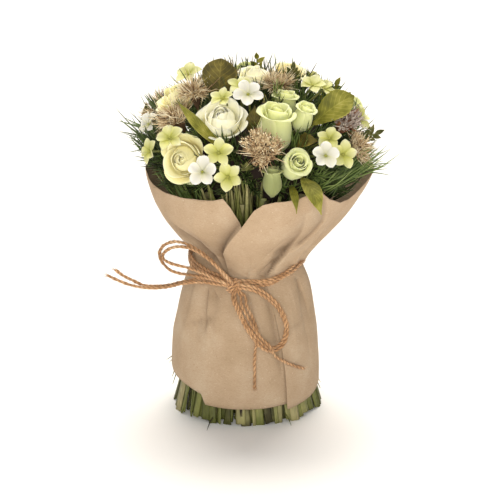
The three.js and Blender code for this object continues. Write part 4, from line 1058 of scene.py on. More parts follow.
# This bud hangs low between the grasses, and is coloured darker than the rest: partly a duller green,
# partly painted shade.
SHADY_BUD = 4
lime_petal = petal_finish(
    "lime bud petal",
    [(0.0, "#6a7038"), (0.3, "#a9ae74"), (0.55, "#c2c68c"), (0.78, "#d5d992"), (1.0, "#e7eaae")],
    veins=0.4,
)
for k, (at, face, radius, length) in enumerate(BUDS):
    draw = np.random.default_rng(90 + k)
    place = dome_place(*at)
    tall = length / 2 / radius
    rings = []
    for ring in BUD_RINGS:
        count, first, span, belly, rim, low, high, roll, tuck = ring
        shape = (count, first, span, belly, rim, low * tall, high * tall, roll, tuck)
        rings.append(petal_ring(draw, shape, radius, rows=23, belly_at=0.4, drop=0.1, point=0.05, wild=0.7))
    # The low bud's tone is pulled down: a duller green, with painted shade.
    fade = (0.3, -0.05) if k == SHADY_BUD else (1.0, 0.0)
    look = (lime_petal, "lime_petals")
    add_flower(f"bud_{k + 1}", rings, BUD_TONES, draw, (place, face), look, fade)
    neck = place - 0.4 * length * unit(np.array(face))
    add_stalk(f"bud_{k + 1}_stalk", core_root(neck), neck, BUD_STALK)
    bloom_places.append((place, radius))


# ---------------------------------------------------------------- small blossoms
# Five petals open round a small green eye. Some are yellow-green and end in blunt points, some are
# white and round, and many stand in twos on one forked stalk.
BLOSSOM_RADIUS = 11.5
BLOSSOM_THICKNESS = 0.25
BLOSSOM_STALK = 0.9
# White or not, then the heads: place on the dome, facing, spin and scale.
BLOSSOMS = [
    (False, [((-62, 78, 1), (-0.8, -0.5, 0.3), 0, 0.95), ((-49, 67, 1), (-0.3, -0.65, 0.7), 20, 1)]),
    (False, [((-18, 71, 3), (-0.1, -0.85, 0.5), 10, 1), ((-13, 84, 1), (0, -0.95, 0.3), 40, 1)]),
    (False, [((40, 66, 2), (-0.2, -0.7, 0.7), 0, 0.9), ((46, 76, 1), (0.45, -0.85, 0.25), 30, 1)]),
    (False, [((64, 31, 1), (0.1, -0.45, 0.88), 0, 0.95), ((73, 36, 1), (0.5, -0.35, 0.8), 0, 0.9)]),
    (False, [((-17, 26, 1), (-0.1, -0.45, 0.9), 0, 0.9), ((-28, 36, 0), (-0.2, -0.6, 0.78), 0, 0.85)]),
    (False, [((-97, 33, 6), (-0.3, -0.55, 0.78), 0, 1)]),
    (False, [((81, 62, 0), (0.8, -0.35, 0.45), 0, 1)]),
    (False, [((140, 46, 2), (0.5, 0.5, 0.7), 0, 1), ((138, 62, 2), (0.6, 0.7, 0.4), 25, 1)]),
    (True, [((-77, 65, 1), (-0.7, -0.4, 0.55), 0, 0.85)]),
    (True, [((-23, 82, 11), (-0.12, -0.85, 0.5), 8, 1)]),
    (True, [((-6, 36, 6), (0, -0.75, 0.66), 50, 1)]),
    (True, [((32, 75, 9), (0.1, -0.85, 0.5), 20, 0.9)]),
    (True, [((-165, 75, 2), (-0.1, 0.9, 0.4), 0, 1)]),
]


def blossom_petals(draw, radius, white):
    """Five separate petals, cupped along their middles and waved at the rim.

    Half width: smoothstep of v/0.55 above 0.3, times 1 - t^p to a power, t = 0 below mid-length.
    A white petal ends round (p 2.6) and a lime one in a blunt point (p 1.7).
    """
    v, u = np.meshgrid(np.linspace(0, 1, 17), np.linspace(-1, 1, 13), indexing="ij")

    def own(low, high):
        return draw.uniform(low, high, (5, 1, 1))

    turn = np.radians(np.arange(5) * 72 + draw.uniform(-5, 5, 5))[:, None, None]
    swell = 0.3 + 0.7 * smooth(v / 0.55)
    past = np.clip((v - 0.52) / 0.48, 0, 1)
    tip = np.clip(1 - past ** (2.6 if white else 1.7), 0.003, 1) ** (0.55 if white else 0.75)
    half = radius * (0.41 if white else 0.38) * swell * tip * own(0.88, 1.06)
    along = radius * v * own(0.92, 1.05)
    side = half * u
    rise = radius * (0.42 * v**0.8 - 0.2 * v * v + own(-0.3, 0.3) * np.clip(v - 0.35, 0, 1) ** 2)
    rise = rise + 0.5 * half * u * u * own(0.1, 1.5) + 0.05 * radius * u * own(-1, 1)
    rise = rise + 0.04 * radius * v * v * np.sin(3.2 * u + own(0, 6.3))
    return np.stack([*rotated(along, side, turn), rise], axis=-1)


def beads(places, radii):
    """Small closed balls as stacked rings, drawn to a point at each pole."""
    polar_angle = np.linspace(0.02, np.pi - 0.02, 5)[:, None]
    turn = np.linspace(0, 2 * np.pi, 6, endpoint=False)
    ball = lathed(np.sin(polar_angle), -turn, np.cos(polar_angle))
    return places[:, None, None] + np.reshape(radii, (-1, 1, 1, 1)) * ball


blossom_petal = petal_finish(
    "yellow-green blossom petal",
    [(0.0, "#8d8c34"), (0.25, "#b4b456"), (0.5, "#ccca7e"), (0.8, "#dfdc9e"), (1.0, "#f0edc4")],
    veins=0.7,
)
white_petal = petal_finish(
    "white blossom petal",
    [(0.0, "#9ba058"), (0.2, "#c4c19c"), (0.45, "#d4d0bc"), (0.8, "#e6e2d2"), (1.0, "#f4f1e6")],
    veins=0.25,
)
for k, (white, heads) in enumerate(BLOSSOMS):
    draw = np.random.default_rng(120 + k)
    petals, eyes, places, shades = [], [], [], []
    for at, face, spin, scale in heads:
        place = dome_place(*at)
        leaf = blossom_petals(draw, BLOSSOM_RADIUS * scale, white)
        shades.append(petal_shade(leaf, draw, 0.05, 0.95))
        petals.append(seated(leaf, place, face, spin))
        spot = np.arange(6)
        # One bead in the middle, and five round it.
        ring = lathed(0.9, spot * 1.26, 0.9)
        ring[0] = (0, 0, 1.3)
        eyes.append(seated(beads(ring, np.where(spot == 0, 0.8, 0.5)), place, face, spin))
        places.append(place)
        bloom_places.append((place, BLOSSOM_RADIUS * scale * 0.9))
    look = (white_petal, "white_petals") if white else (blossom_petal, "blossom_petals")
    node = f"blossoms_{k + 1}"
    petals, shades = np.concatenate(petals), np.concatenate(shades)
    add_sheet(f"{node}_petals", petals, *look, shades, (node,), BLOSSOM_THICKNESS)
    add_piece(f"{node}_eyes", np.concatenate(eyes), blossom_petal, 0.12, closed=True)
    root = core_root(np.mean(places, axis=0))
    add_stalk(f"{node}_stalk", np.array([root] * len(places)), np.array(places), BLOSSOM_STALK)


# ---------------------------------------------------------------- dried seed heads
# Dried heads of three sorts: fans of pale bristles, funnels of crumbly pink-brown grains, and
# loose mauve bracts with rusty grains.
SEED_STALK = 1.3
# Place on the dome, facing, radius, height and sort.
SEED_HEADS = [
    ((-59, 54, -5), (-0.5, -0.3, 0.81), 12.5, 28, "bristle"),
    ((-61, 36, -2), (-0.15, -0.1, 0.98), 9, 26, "bristle"),
    ((-58, 15, 0), (-0.3, 0, 0.95), 6, 18, "grain"),
    ((3, 70, 2), (0, -0.6, 0.8), 16, 32, "grain"),
    ((44, 16, -8), (0.04, -0.1, 0.99), 7, 22, "bristle"),
    ((57, 59, 1), (0.35, -0.5, 0.79), 13, 26, "bract"),
    ((62, 76, -3), (0.7, -0.5, 0.5), 9, 22, "bristle"),
    ((-108, 60, -4), (-0.8, 0.3, 0.5), 15, 28, "bristle"),
]
# Bristles of each sort: count, shortest and longest in half heights, width and fan in radians.
SEED_PARTS = {
    "bristle": [(560, 0.6, 1.02, 1.0, 1.35), (320, 0.35, 0.75, 1.4, 1.1)],
    "grain": [(120, 0.5, 0.8, 1.0, 1.2)],
    "bract": [(90, 0.6, 0.95, 1.1, 1.1)],
}
# A bristle's width and tone from root to tip, and its outline.
BRISTLE_PROFILE = np.array([0.8, 1.0, 1.05, 0.9, 0.6, 0.1])
BRISTLE_TONES = np.array([0.0, 0.18, 0.4, 0.58, 0.72, 0.88])
BRISTLE_OUTLINE = np.array([(1, 0), (-0.6, 0.3), (-0.6, -0.3)])
# The core's profile, in shares of the head's radius and half height, and its radius at both poles.
SEED_CORE = np.array([(0, -1), (0.3, -0.5), (0.55, 0), (0.42, 0.3), (0, 0.5)])
SEED_POLE = 0.02
# Clumps of grains on a head, grains in a clump, and a grain's size across and along.
SEED_GRAINS = {"grain": (34, 40, 0.7, 1.0), "bract": (20, 18, 0.85, 1.9)}


def seed_finish(name, stops):
    """Dried seed head: dull and papery, pale tips over brown with dark gaps."""
    finish, tree, shader = new_finish(name, Roughness=0.8, Specular_IOR_Level=0.2)
    place = add_node(tree, "TexCoord", "Object")
    tone = add_node(tree, "Attribute", "Fac", attribute_name="shade")
    patch = add_node(tree, "TexNoise", "Fac", {"Vector": place, "Scale": 260.0, "Detail": 2.0})
    swing = add_node(tree, "Math", 0, {0: patch, 1: 0.4, 2: -0.2}, operation="MULTIPLY_ADD")
    spot = add_node(tree, "Math", 0, {0: tone, 1: swing}, operation="ADD")
    colour = add_node(tree, "ValToRGB", "Color", {"Fac": spot}, stops)
    tree.links.new(colour, shader.inputs["Base Color"])
    return finish


def fan_directions(draw, count, fan):
    """Directions spread evenly over a cap round +Z, jittered; fan is the cap's edge in radians."""
    k = np.arange(count) + 0.5
    lean = fan * np.sqrt(k / count) + draw.normal(0, 0.07, count)
    turn = k * 2.39996 + draw.normal(0, 0.15, count)
    return lathed(np.sin(lean), turn, np.cos(lean))


def bristles(draw, sort, radius, half, shift):
    """A head's bristles and the tones along them: they fan out of its middle and curl at the tips.
    shift moves the tufts, so that no two heads are alike."""
    lines, widths, tones = [], [], []
    share = np.linspace(0, 1, 6)[None, :, None]
    for count, shortest, longest, wide, fan in SEED_PARTS[sort]:
        way = fan_directions(draw, count, fan)
        start = way * (0.4 * radius, 0.4 * radius, 0.1 * half)
        reach = half * draw.uniform(shortest, longest, (count, 1, 1))
        # Neighbouring bristles lean the same way, so the head parts into tufts.
        tuft = np.sin(way * 6 + shift) * 0.42
        curl = (tuft + draw.normal(0, 0.3, (count, 3)))[:, None]
        lines.append(start[:, None] + reach * (way[:, None] * share + curl * share**2))
        widths.append(np.tile(wide / 2 * BRISTLE_PROFILE, (count, 1)))
        tones.append(np.clip(BRISTLE_TONES + draw.normal(0, 0.22, (count, 1)), 0, 1))
    lines, widths, tones = (np.concatenate(group) for group in (lines, widths, tones))
    facing = unit(draw.normal(0, 1, (len(lines), 1, 3)))
    return tubes(lines, facing, widths[..., None, None] * BRISTLE_OUTLINE), tones


def grains(draw, sort, radius, half):
    """A head's grains, in clumps, and each one's tone: short spindles that point outwards."""
    clumps, each, across, along = SEED_GRAINS[sort]
    middle = fan_directions(draw, clumps, 1.25) * (radius, radius, 0.85 * half)
    middle = middle * draw.uniform(0.72, 1.05, (clumps, 1))
    spot = (middle[:, None] + draw.normal(0, 0.13 * radius, (clumps, each, 3))).reshape(-1, 3)
    spot[:, 0] *= np.clip(0.78 + 0.34 * spot[:, 1] / radius, 0.4, 1.1)
    way = unit(spot + draw.normal(0, 0.3 * radius, spot.shape))
    size = draw.uniform(0.6, 1.25, len(spot))
    reach = (along * size)[:, None] * way
    angle = np.linspace(0, 2 * np.pi, 16, endpoint=False)[::3]
    ring = across * np.stack([np.cos(angle), 0.7 * np.sin(angle)], axis=-1)
    sections = np.array([0.25, 1.0, 0.15])[None, :, None, None] * size[:, None, None, None] * ring
    tone = np.repeat(draw.normal(0.6, 0.15, clumps), each) + draw.normal(0, 0.18, len(spot))
    facing = unit(draw.normal(0, 1, (len(spot), 1, 3)))
    lines = np.stack([spot - reach, spot, spot + reach], axis=1)
    return tubes(lines, facing, sections), np.clip(tone, 0, 1)


seed_look = seed_finish(
    "tan seed head",
    [(0.0, "#34261a"), (0.25, "#75593f"), (0.5, "#b39670"), (0.75, "#dcc69c"), (1.0, "#f6ebcc")],
)
mauve_look = seed_finish(
    "mauve seed head",
    [(0.0, "#43312a"), (0.2, "#8a5a38"), (0.36, "#86756a"), (0.66, "#a99a8f"), (1.0, "#d2c6b8")],
)
for k, (at, face, radius, height, sort) in enumerate(SEED_HEADS):
    draw = np.random.default_rng(150 + k)
    place = dome_place(*at)
    node = f"seed_head_{k + 1}"
    look = mauve_look if sort == "bract" else seed_look
    half = height / 2
    reach = np.maximum(SEED_CORE[:, :1] * radius, SEED_POLE)
    turn = np.linspace(0, 2 * np.pi, 16, endpoint=False)
    core = seated(lathed(reach, turn, SEED_CORE[:, 1:] * half), place, face)[None]
    add_piece(f"{node}_core", core, look, 0.1, (node,), closed=True)
    points, tones = bristles(draw, sort, radius, half, k)
    add_closed(f"{node}_bristles", seated(points, place, face), look, tones)
    if sort in SEED_GRAINS:
        points, tones = grains(draw, sort, radius, half)
        add_closed(f"{node}_grains", seated(points, place, face), look, tones)
    neck = place - 0.45 * height * unit(np.array(face))
    add_stalk(f"{node}_stalk", core_root(neck), neck, SEED_STALK)
    bloom_places.append((place, 0.7 * radius))


# ---------------------------------------------------------------- leaves
# Broad dried leaves stand between the flowers and hang over the paper: brown-olive to olive
# green, folded a little along the midrib, some with a saw edge.
LEAF_THICKNESS = 0.5
PETIOLE = 0.26  # the share of the length that is only a stalk
# Base, bend and tip of the midrib, width, facing, saw depth, how far the widest place moves up.
LEAVES = [
    ((-24, -20, 240), (-23, -34, 268), (-19, -24, 289), 27, (-0.1, -1, 0.2), 0.02, 1.7),
    ((48, -44, 232), (62, -62, 262), (81, -48, 265), 22, (-0.1, -1, 0.5), 0.09, 1.3),
    ((34, -58, 228), (42, -76, 240), (53, -69, 235), 11, (0, -0.8, 0.6), 0.0, 0.85),
    ((-18, -62, 224), (-30, -78, 240), (-53, -56, 264), 9, (0.2, -0.8, 0.6), 0.0, 0.85),
    ((46, -54, 202), (46, -102, 217), (55, -104, 188), 14, (0.3, -0.8, 0.6), 0.06, 1.0),
    ((36, -58, 194), (36, -96, 208), (37, -98, 187), 6, (0, -1, 0.3), 0.0, 0.85),
    ((6, -42, 232), (5, -60, 243), (6, -46, 257), 13, (0, -1, 0.3), 0.0, 0.85),
    ((54, 42, 212), (76, 56, 222), (84, 64, 244), 22, (0.6, 0.4, 0.6), 0.05, 1.1),
    ((-56, 36, 204), (-78, 50, 212), (-82, 56, 238), 24, (-0.7, 0.5, 0.5), 0.04, 1.0),
]
OLIVE_LEAVES = (2, 4, 5, 6, 8)


def leaf_finish(name, stops):
    """Dried leaf: leathery satin, side veins from a pale midrib, paler along the edge."""
    finish, tree, shader = new_finish(name, Roughness=0.62, Specular_IOR_Level=0.25)
    spread = add_node(tree, "UVMap", "UV", uv_map="surface")
    across = add_node(tree, "SeparateXYZ", "X", {"Vector": spread})
    along = add_node(tree, "SeparateXYZ", "Y", {"Vector": spread})
    side = add_node(tree, "Math", 0, {0: across, 1: 0.5}, operation="SUBTRACT")
    side = add_node(tree, "Math", 0, {0: side}, operation="ABSOLUTE")
    slant = add_node(tree, "Math", 0, {0: side, 1: -0.45, 2: along}, operation="MULTIPLY_ADD")
    wave = add_node(tree, "Math", 0, {0: slant, 1: 72.0}, operation="MULTIPLY")
    vein = add_node(tree, "Math", 0, {0: wave}, operation="COSINE")
    thin = add_node(tree, "MapRange", 0, {"Value": vein, "From Min": 0.8, "From Max": 1.0})
    rib = {"Value": side, "From Min": 0.0, "From Max": 0.035, "To Min": 1.0, "To Max": 0.0}
    rib = add_node(tree, "MapRange", 0, rib)
    line = add_node(tree, "Math", 0, {0: thin, 1: rib}, operation="MAXIMUM")
    place = add_node(tree, "TexCoord", "Object")
    patch = add_node(tree, "TexNoise", "Fac", {"Vector": place, "Scale": 110.0, "Detail": 4.0})
    lifted = add_node(tree, "Math", 0, {0: line, 1: 0.16, 2: patch}, operation="MULTIPLY_ADD")
    edge = {"Value": side, "From Min": 0.46, "From Max": 0.5, "To Max": 0.22}
    edge = add_node(tree, "MapRange", 0, edge)
    tone = add_node(tree, "Math", 0, {0: lifted, 1: edge}, operation="ADD")
    colour = add_node(tree, "ValToRGB", "Color", {"Fac": tone}, stops)
    relief = add_node(tree, "Bump", "Normal", {"Height": tone, "Strength": 0.5, "Distance": 0.6 * MM})
    tree.links.new(colour, shader.inputs["Base Color"])
    tree.links.new(relief, shader.inputs["Normal"])
    return finish


def leaf_blade(base, bend, tip, width, face, saw, peak):
    """A blade along a quadratic curve: its width swells by a half sine of the length to the power
    peak, and drops more steeply the nearer the tip its widest place is. It folds along the midrib."""
    v, u = np.meshgrid(np.linspace(0, 1, 49), np.linspace(-1, 1, 17), indexing="ij")
    p, q, r = core_root(base), np.array(bend, float), np.array(tip, float)
    t = v[..., None]
    middle = (1 - t) ** 2 * p + 2 * t * (1 - t) * q + t * t * r
    heading = unit((1 - t) * (q - p) + t * (r - q))
    across = unit(np.cross(heading, np.array(face, float)))
    normal = np.cross(across, heading)
    blade = np.clip((v - PETIOLE) / (1 - PETIOLE), 0, 1)
    teeth = 1 + saw * ((blade * 13) % 1 - 0.5) * np.abs(u) ** 6
    swell = np.sin(np.pi * blade**peak) ** (0.55 + (1.4 - 0.7 * peak) * blade)
    half = width / 2 * teeth * np.maximum(0.05, swell)
    droop = 0.02 * width * np.sin(9 * blade + 2 * u) * np.abs(u)
    lift = 0.17 * half * np.abs(u) ** 1.3 + droop
    return middle + (half * u)[..., None] * across + lift[..., None] * normal


brown_leaf = leaf_finish(
    "brown-olive leaf", [(0.2, "#35300f"), (0.45, "#4d451a"), (0.62, "#6b5f24"), (0.85, "#93853f")]
)
olive_leaf = leaf_finish(
    "olive leaf", [(0.2, "#53541c"), (0.45, "#747227"), (0.62, "#908b38"), (0.85, "#aea75a")]
)
for k, (base, bend, tip, width, face, saw, peak) in enumerate(LEAVES):
    blade = leaf_blade(base, bend, tip, width, face, saw, peak)[None]
    look = (olive_leaf, "olive_leaf") if k + 1 in OLIVE_LEAVES else (brown_leaf, "brown_leaf")
    add_sheet(f"leaf_{k + 1}_blade", blade, *look, 0.5, (f"leaf_{k + 1}",), LEAF_THICKNESS)
    for share in (0.35, 0.65, 0.95):
        spot = np.array(base) + (np.array(tip) - np.array(base)) * share
        bloom_places.append((spot, width / 3))


# ---------------------------------------------------------------- leafy sprigs
# Thin green twigs with small pointed leaves in turn to the left and right, folded a little along
# the midrib. They spring from the middle of the sheaf.
SPRIG_TWIG = 0.7
SPRIG_LEAF_HALF = 1.9  # half of a leaf's width
SPRIG_ROOM = 4.0  # kept clear of needles round the tip
# Base, tip, facing, leaf count and leaf length.
SPRIGS = [
    ((33, -12, 240), (35, -14, 278), (0, -0.9, 0.4), 5, 9),
    ((50, 6, 230), (69, 8, 261), (0, -0.9, 0.4), 4, 8),
    ((66, -18, 212), (99, -20, 229), (0, -0.9, 0.4), 5, 9),
    ((8, 16, 240), (8, 14, 281), (0, -0.9, 0.4), 3, 9),
    ((0, -54, 208), (0, -89, 218), (0, -0.7, 0.7), 4, 8),
]
dark_leaf = leaf_finish(
    "dark small leaf", [(0.2, "#2c2e14"), (0.45, "#44471d"), (0.62, "#61602c"), (0.85, "#86805a")]
)
for k, (base, tip, face, count, length) in enumerate(SPRIGS):
    draw = np.random.default_rng(180 + k)
    root, end = core_root(base), np.array(tip, float)
    heading = unit(end - root)
    across = unit(np.cross(heading, np.array(face, float)))
    front = np.cross(across, heading)
    total = 2 * count + 3
    place = root + (end - root) * np.linspace(0.45, 1.0, total)[:, None]
    lean = np.where(np.arange(total) == total - 1, 0, 0.85 * np.where(np.arange(total) % 2, 1, -1))
    lean = (lean + draw.normal(0, 0.12, total))[:, None]
    aim = unit(heading + across * lean + front * draw.normal(0.1, 0.35, total)[:, None])
    t = np.linspace(0, 1, 9)[None, :, None]
    reach = length * draw.uniform(0.8, 1.12, (total, 1, 1))
    middle = place[:, None] + aim[:, None] * reach * t + front * (0.12 * reach * t * t)
    side = unit(np.cross(aim, front))[:, None, None]
    u = np.linspace(-1, 1, 7)[None, None, :, None]
    half = SPRIG_LEAF_HALF * np.maximum(0.06, np.sin(np.pi * np.clip(t, 0, 1) ** 0.8))[..., None]
    blades = middle[:, :, None] + side * half * u + front * (0.35 * half * np.abs(u))
    look = (olive_leaf, "olive_leaf") if k % 2 else (dark_leaf, "dark_leaf")
    add_sheet(f"sprig_{k + 1}_leaves", blades, *look, 0.5, (f"sprig_{k + 1}",), PETAL_THICKNESS)
    add_stalk(f"sprig_{k + 1}_twig", root, end, SPRIG_TWIG)
    bloom_places.append((end, SPRIG_ROOM))


# ---------------------------------------------------------------- needle foliage
# Dark needle sprays fill the dome between the flowers: twigs with needles all round, rooted on a
# rough ball of dark stems, made near black with painted shade. Tufts of flat grass blades stand
# among them and lean out over the paper.
NEEDLE_SPRAYS = 260
NEEDLES_A_SPRAY = 26
NEEDLE_LENGTH = (9.0, 18.0)
NEEDLE_WIDTH = 1.1
BROAD_BLADE = 2.4  # a wider blade is a dried stem and looks like one
# Tufts of grass: root, aim, fan, blades, shortest and longest blade, width, tone.
GRASS_TUFTS = [
    ((-66, -24, 212), (-0.62, -0.1, 0.8), 0.16, 56, 18, 27, 1.7, 0.28),
    ((-60, -34, 222), (-0.45, -0.2, 0.85), 0.16, 36, 14, 24, 1.6, 0.24),
    ((-56, -2, 236), (-0.62, 0.0, 0.85), 0.2, 34, 18, 28, 1.6, 0.28),
    ((60, -34, 182), (0.7, -0.2, 0.6), 0.4, 44, 18, 30, 1.5, 0.22),
    ((26, -40, 178), (0.15, -0.7, 0.7), 0.35, 22, 15, 23, 1.3, 0.3),
    ((13, -43, 176), (0.0, -0.7, 0.7), 0.3, 14, 13, 20, 1.3, 0.3),
    ((68, -8, 184), (0.8, 0.0, 0.5), 0.4, 40, 18, 30, 1.5, 0.22),
    ((-38, -6, 252), (-0.15, 0.0, 1.0), 0.42, 18, 20, 32, 1.1, 0.42),
    ((-8, -4, 256), (0.05, 0.0, 1.0), 0.42, 16, 20, 32, 1.1, 0.42),
    ((38, -8, 250), (0.2, -0.1, 1.0), 0.22, 30, 20, 33, 1.5, 0.34),
    ((58, -2, 240), (0.35, -0.1, 0.95), 0.32, 26, 20, 32, 1.2, 0.42),
    ((72, -8, 226), (0.75, -0.1, 0.7), 0.34, 26, 20, 32, 1.2, 0.42),
    ((62, -46, 196), (0.84, 0.1, 0.5), 0.22, 44, 34, 56, 1.5, 0.58),
    ((50, -58, 192), (0.62, -0.15, 0.72), 0.32, 40, 22, 38, 1.0, 0.66),
    ((28, -66, 196), (0.3, -0.35, 0.86), 0.38, 34, 18, 30, 1.0, 0.62),
    ((78, -18, 200), (0.85, -0.1, 0.45), 0.26, 30, 24, 36, 1.2, 0.48),
    ((37, -64, 226), (0.12, -0.3, 0.95), 0.22, 30, 12, 24, 1.2, 0.42),
    ((24, -70, 212), (0.3, -0.4, 0.85), 0.3, 24, 12, 22, 1.2, 0.46),
    ((-14, -66, 226), (-0.1, -0.4, 0.9), 0.3, 22, 10, 18, 1.2, 0.3),
    ((-2, -52, 160), (-0.02, -0.34, 1.0), 0.10, 26, 34, 50, 4.2, 0.82),
    ((-15, -52, 162), (-0.12, -0.3, 1.0), 0.12, 18, 32, 46, 3.6, 0.66),
    ((-38, -46, 172), (-0.46, -0.22, 0.86), 0.24, 34, 24, 42, 1.6, 0.62),
    ((-56, -34, 178), (-0.5, -0.1, 0.86), 0.22, 24, 24, 38, 1.3, 0.50),
    ((-10, -60, 206), (-0.05, -0.5, 0.8), 0.4, 20, 12, 22, 1.1, 0.5),
    ((70, 40, 214), (0.7, 0.4, 0.6), 0.34, 30, 24, 36, 1.3, 0.42),
    ((20, 72, 214), (0.2, 0.75, 0.65), 0.36, 34, 24, 36, 1.3, 0.42),
    ((-34, 62, 214), (-0.4, 0.7, 0.65), 0.36, 34, 24, 36, 1.3, 0.42),
    ((-70, 34, 212), (-0.8, 0.35, 0.55), 0.34, 30, 24, 38, 1.3, 0.42),
    ((0, 56, 184), (0.0, 0.5, 0.86), 0.3, 30, 26, 40, 2.2, 0.66),
    ((-52, 30, 184), (-0.6, 0.3, 0.8), 0.3, 26, 24, 38, 1.8, 0.6),
    ((56, 24, 182), (0.6, 0.3, 0.8), 0.3, 26, 24, 40, 1.8, 0.6),
]


def foliage_finish(name, stops, roughness):
    """Needles: waxy dark green with paler tips, different from spray to spray."""
    finish, tree, shader = new_finish(name, Roughness=roughness, Specular_IOR_Level=0.35)
    tone = add_node(tree, "Attribute", "Fac", attribute_name="shade")
    colour = add_node(tree, "ValToRGB", "Color", {"Fac": tone}, stops)
    tree.links.new(colour, shader.inputs["Base Color"])
    return finish


def spray_needles(draw):
    """Root and tip of every needle: sprays grow out of the core, needles leave each twig at a slant."""
    k = np.arange(NEEDLE_SPRAYS) + 0.5
    angle = np.arccos(1 - 1.32 * k / NEEDLE_SPRAYS)
    azimuth = k * 137.508 + draw.uniform(-9, 9, NEEDLE_SPRAYS)
    flat = polar(azimuth, np.sin(angle), 0.0)
    up = np.cos(angle)[:, None] * np.array([0.0, 0.0, 1.0])
    root = DOME_CENTRE + flat * (CORE_ACROSS - 4) + up * (CORE_HIGH - 4)
    lean = azimuth + draw.uniform(-18, 18, NEEDLE_SPRAYS)
    way = polar(lean, np.sin(angle * 0.82), 0.0) + np.cos(angle * 0.82)[:, None] * np.array([0.0, 0.0, 1.0])
    twig = draw.uniform(20, 31, NEEDLE_SPRAYS)
    share = np.linspace(0.12, 1.0, NEEDLES_A_SPRAY)
    foot = root[:, None] + way[:, None] * (twig[:, None] * share)[..., None]
    turn = np.arange(NEEDLES_A_SPRAY) * 2.4 + draw.uniform(0, 6.3, NEEDLE_SPRAYS)[:, None]
    side = unit(np.cross(way, (0.2, 0.3, 0.93)))
    other = np.cross(way, side)
    out = np.cos(turn)[..., None] * side[:, None] + np.sin(turn)[..., None] * other[:, None]
    slant = draw.uniform(0.25, 0.75, turn.shape)[..., None] * (1.2 - 0.6 * share[:, None])
    aim = unit(way[:, None] + slant * out)
    reach = draw.uniform(*NEEDLE_LENGTH, turn.shape)[..., None]
    tone = draw.normal(0.4, 0.16, NEEDLE_SPRAYS)[:, None] + draw.normal(0, 0.08, turn.shape)
    twigs = (root, root + way * twig[:, None])
    return twigs, foot.reshape(-1, 3), (foot + aim * reach).reshape(-1, 3), tone.ravel()


def grass_blades(draw):
    """Root, tip, width, tone and bow of every blade: each tuft fans out round its aim."""
    parts = []
    for root, aim, fan, count, shortest, longest, width, tone in GRASS_TUFTS:
        way = unit(unit(np.array(aim, float)) + fan * np.clip(draw.normal(0, 1, (count, 3)), -1.5, 1.5))
        start = np.array(root, float) + draw.normal(0, 5, (count, 3)) * (1, 0.6, 0.5)
        reach = draw.uniform(shortest, longest, (count, 1))
        parts.append(np.concatenate([
            start, start + way * reach, width * draw.uniform(0.7, 1.2, (count, 1)),
            tone + draw.normal(0, 0.11, (count, 1)), reach * draw.uniform(-0.09, 0.09, (count, 1)),
        ], axis=-1))
    table = np.concatenate(parts)
    return table[:, :3], table[:, 3:6], table[:, 6], table[:, 7], table[:, 8]


def clear_of_paper(start, end):
    """True for each line that stays inside the bowl of the paper for as long as it's below the rim."""
    inside = np.ones(len(start), bool)
    for share in np.linspace(0, 1, 7):
        spot = start + (end - start) * share
        azimuth = np.degrees(np.arctan2(spot[:, 0], -spot[:, 1]))
        rim = np.interp((azimuth - RIM_SPAN[0]) % 360 + RIM_SPAN[0], *zip(*TOP_EDGE))
        wall = necked_reach(azimuth, spot[:, 2]) - 6
        inside &= (np.hypot(spot[:, 0], spot[:, 1]) < wall) | (spot[:, 2] > rim + 2)
    return inside


def clear_of_blooms(start, end, gap):
    """True for each line whose nearest point to every bloom is farther than its size and the gap."""
    free = np.ones(len(start), bool)
    run = end - start
    for place, size in bloom_places:
        t = np.clip(((place - start) * run).sum(-1) / (run * run).sum(-1), 0, 1)
        free &= np.linalg.norm(start + run * t[:, None] - place, axis=-1) > size + gap
    return free


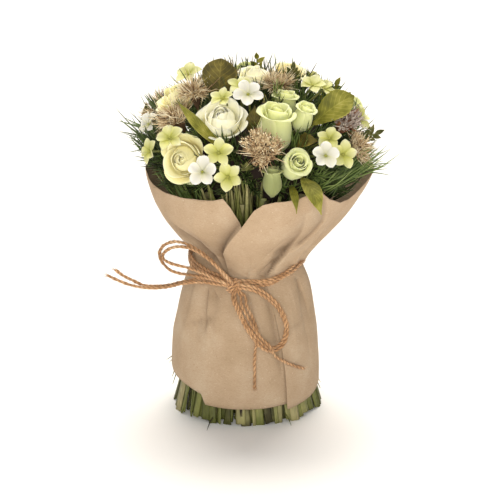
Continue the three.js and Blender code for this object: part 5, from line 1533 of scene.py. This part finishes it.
needle_look = foliage_finish(
    "dark needles",
    [(0.0, "#22280f"), (0.3, "#384620"), (0.55, "#53672f"), (0.8, "#7a8c4a"), (1.0, "#a8b072")],
    0.5,
)
# The core's browns are near black: partly the dark stems' own colour, partly painted shade.
painted_shade_core_look = foliage_finish("dark core with painted shade", [(0.0, "#1c1511"), (0.6, "#382a22"), (1.0, "#5a4636")], 0.9)
draw = np.random.default_rng(211)
twigs, foot, tip, tone = spray_needles(draw)
free = clear_of_blooms(foot, tip, 0.6) & clear_of_paper(foot, tip)
foot, tip, tone = foot[free], tip[free], tone[free]
lines = bowed(foot, tip, 5, draw.uniform(-0.6, 0.6, len(foot)))
width = NEEDLE_WIDTH / 2 * np.array([0.5, 1.0, 1.0, 0.75, 0.1])
ring = np.array([(1.0, 0.0), (-0.4, 0.5), (-0.4, -0.5)])
sections = np.broadcast_to(width[:, None, None] * ring, (len(lines), 5, 3, 2))
shade = np.clip(tone[:, None] + np.array([-0.15, -0.08, -0.04, 0.02, 0.14]), 0, 1)
needles = tubes(lines, unit(draw.normal(0, 1, (len(lines), 1, 3))), sections)
add_closed("needle_sprays", needles, needle_look, shade, ("needle_foliage",))
root, tip, width, tone, bow = grass_blades(draw)
free = clear_of_blooms(root, tip, -2.0) & clear_of_paper(root, tip)
root, tip, width, tone, bow = (part[free] for part in (root, tip, width, tone, bow))
lines = bowed(root, tip, 9, bow, (0.3, 0.1, -1.0))
# A blade: nearly flat, with a shallow keel, widest at a third, drawn out to a point.
profile = np.array([0.55, 0.85, 1.0, 1.0, 0.92, 0.8, 0.62, 0.4, 0.08])
flat = np.array([(0.5, 0.0), (0.0, 0.16), (-0.5, 0.0), (0.0, -0.06)])
sections = (width[:, None] * profile)[..., None, None] * flat
shade = np.clip(tone[:, None] + np.linspace(-0.12, 0.14, 9), 0, 1)
facing = unit(draw.normal(0, 0.5, (len(lines), 1, 3)) + np.array([0.0, -1.0, 0.3]))
blades = tubes(lines, facing, sections)
broad = width > BROAD_BLADE
add_closed("grass_blades", blades[~broad], needle_look, shade[~broad])
add_closed("flat_stems", blades[broad], stem_look, shade[broad])
near = clear_of_blooms(*twigs, 0.0)
lines = bowed(twigs[0][near], twigs[1][near], 6)
facing = unit(np.cross(np.gradient(lines, axis=1), (0.2, 0.9, 0.3)))
sections = round_sections(lines, np.linspace(0.9, 0.35, 6)[None], 5)
add_closed("needle_twigs", tubes(lines, facing, sections), needle_look, 0.3)
# The core: a lumpy ball of tangled stems, seen only as the dark between the flowers. Its near-black brown
# is partly the stems' own colour and partly painted shade.
lowest = np.arccos((CORE_BOTTOM - DOME_CENTRE[2]) / CORE_HIGH)
angle = np.linspace(0.01, lowest, 60)[:, None]
turn = -np.linspace(0, 2 * np.pi, 120, endpoint=False)[None]
lump = 1 + 0.02 * np.sin(5 * angle - 9 * turn) * np.sin(11 * angle) - 0.03
ball = lathed(CORE_ACROSS * lump * np.sin(angle), turn, CORE_HIGH * lump * np.cos(angle)) + DOME_CENTRE
add_closed("foliage_core", ball[None], painted_shade_core_look, 0.4)
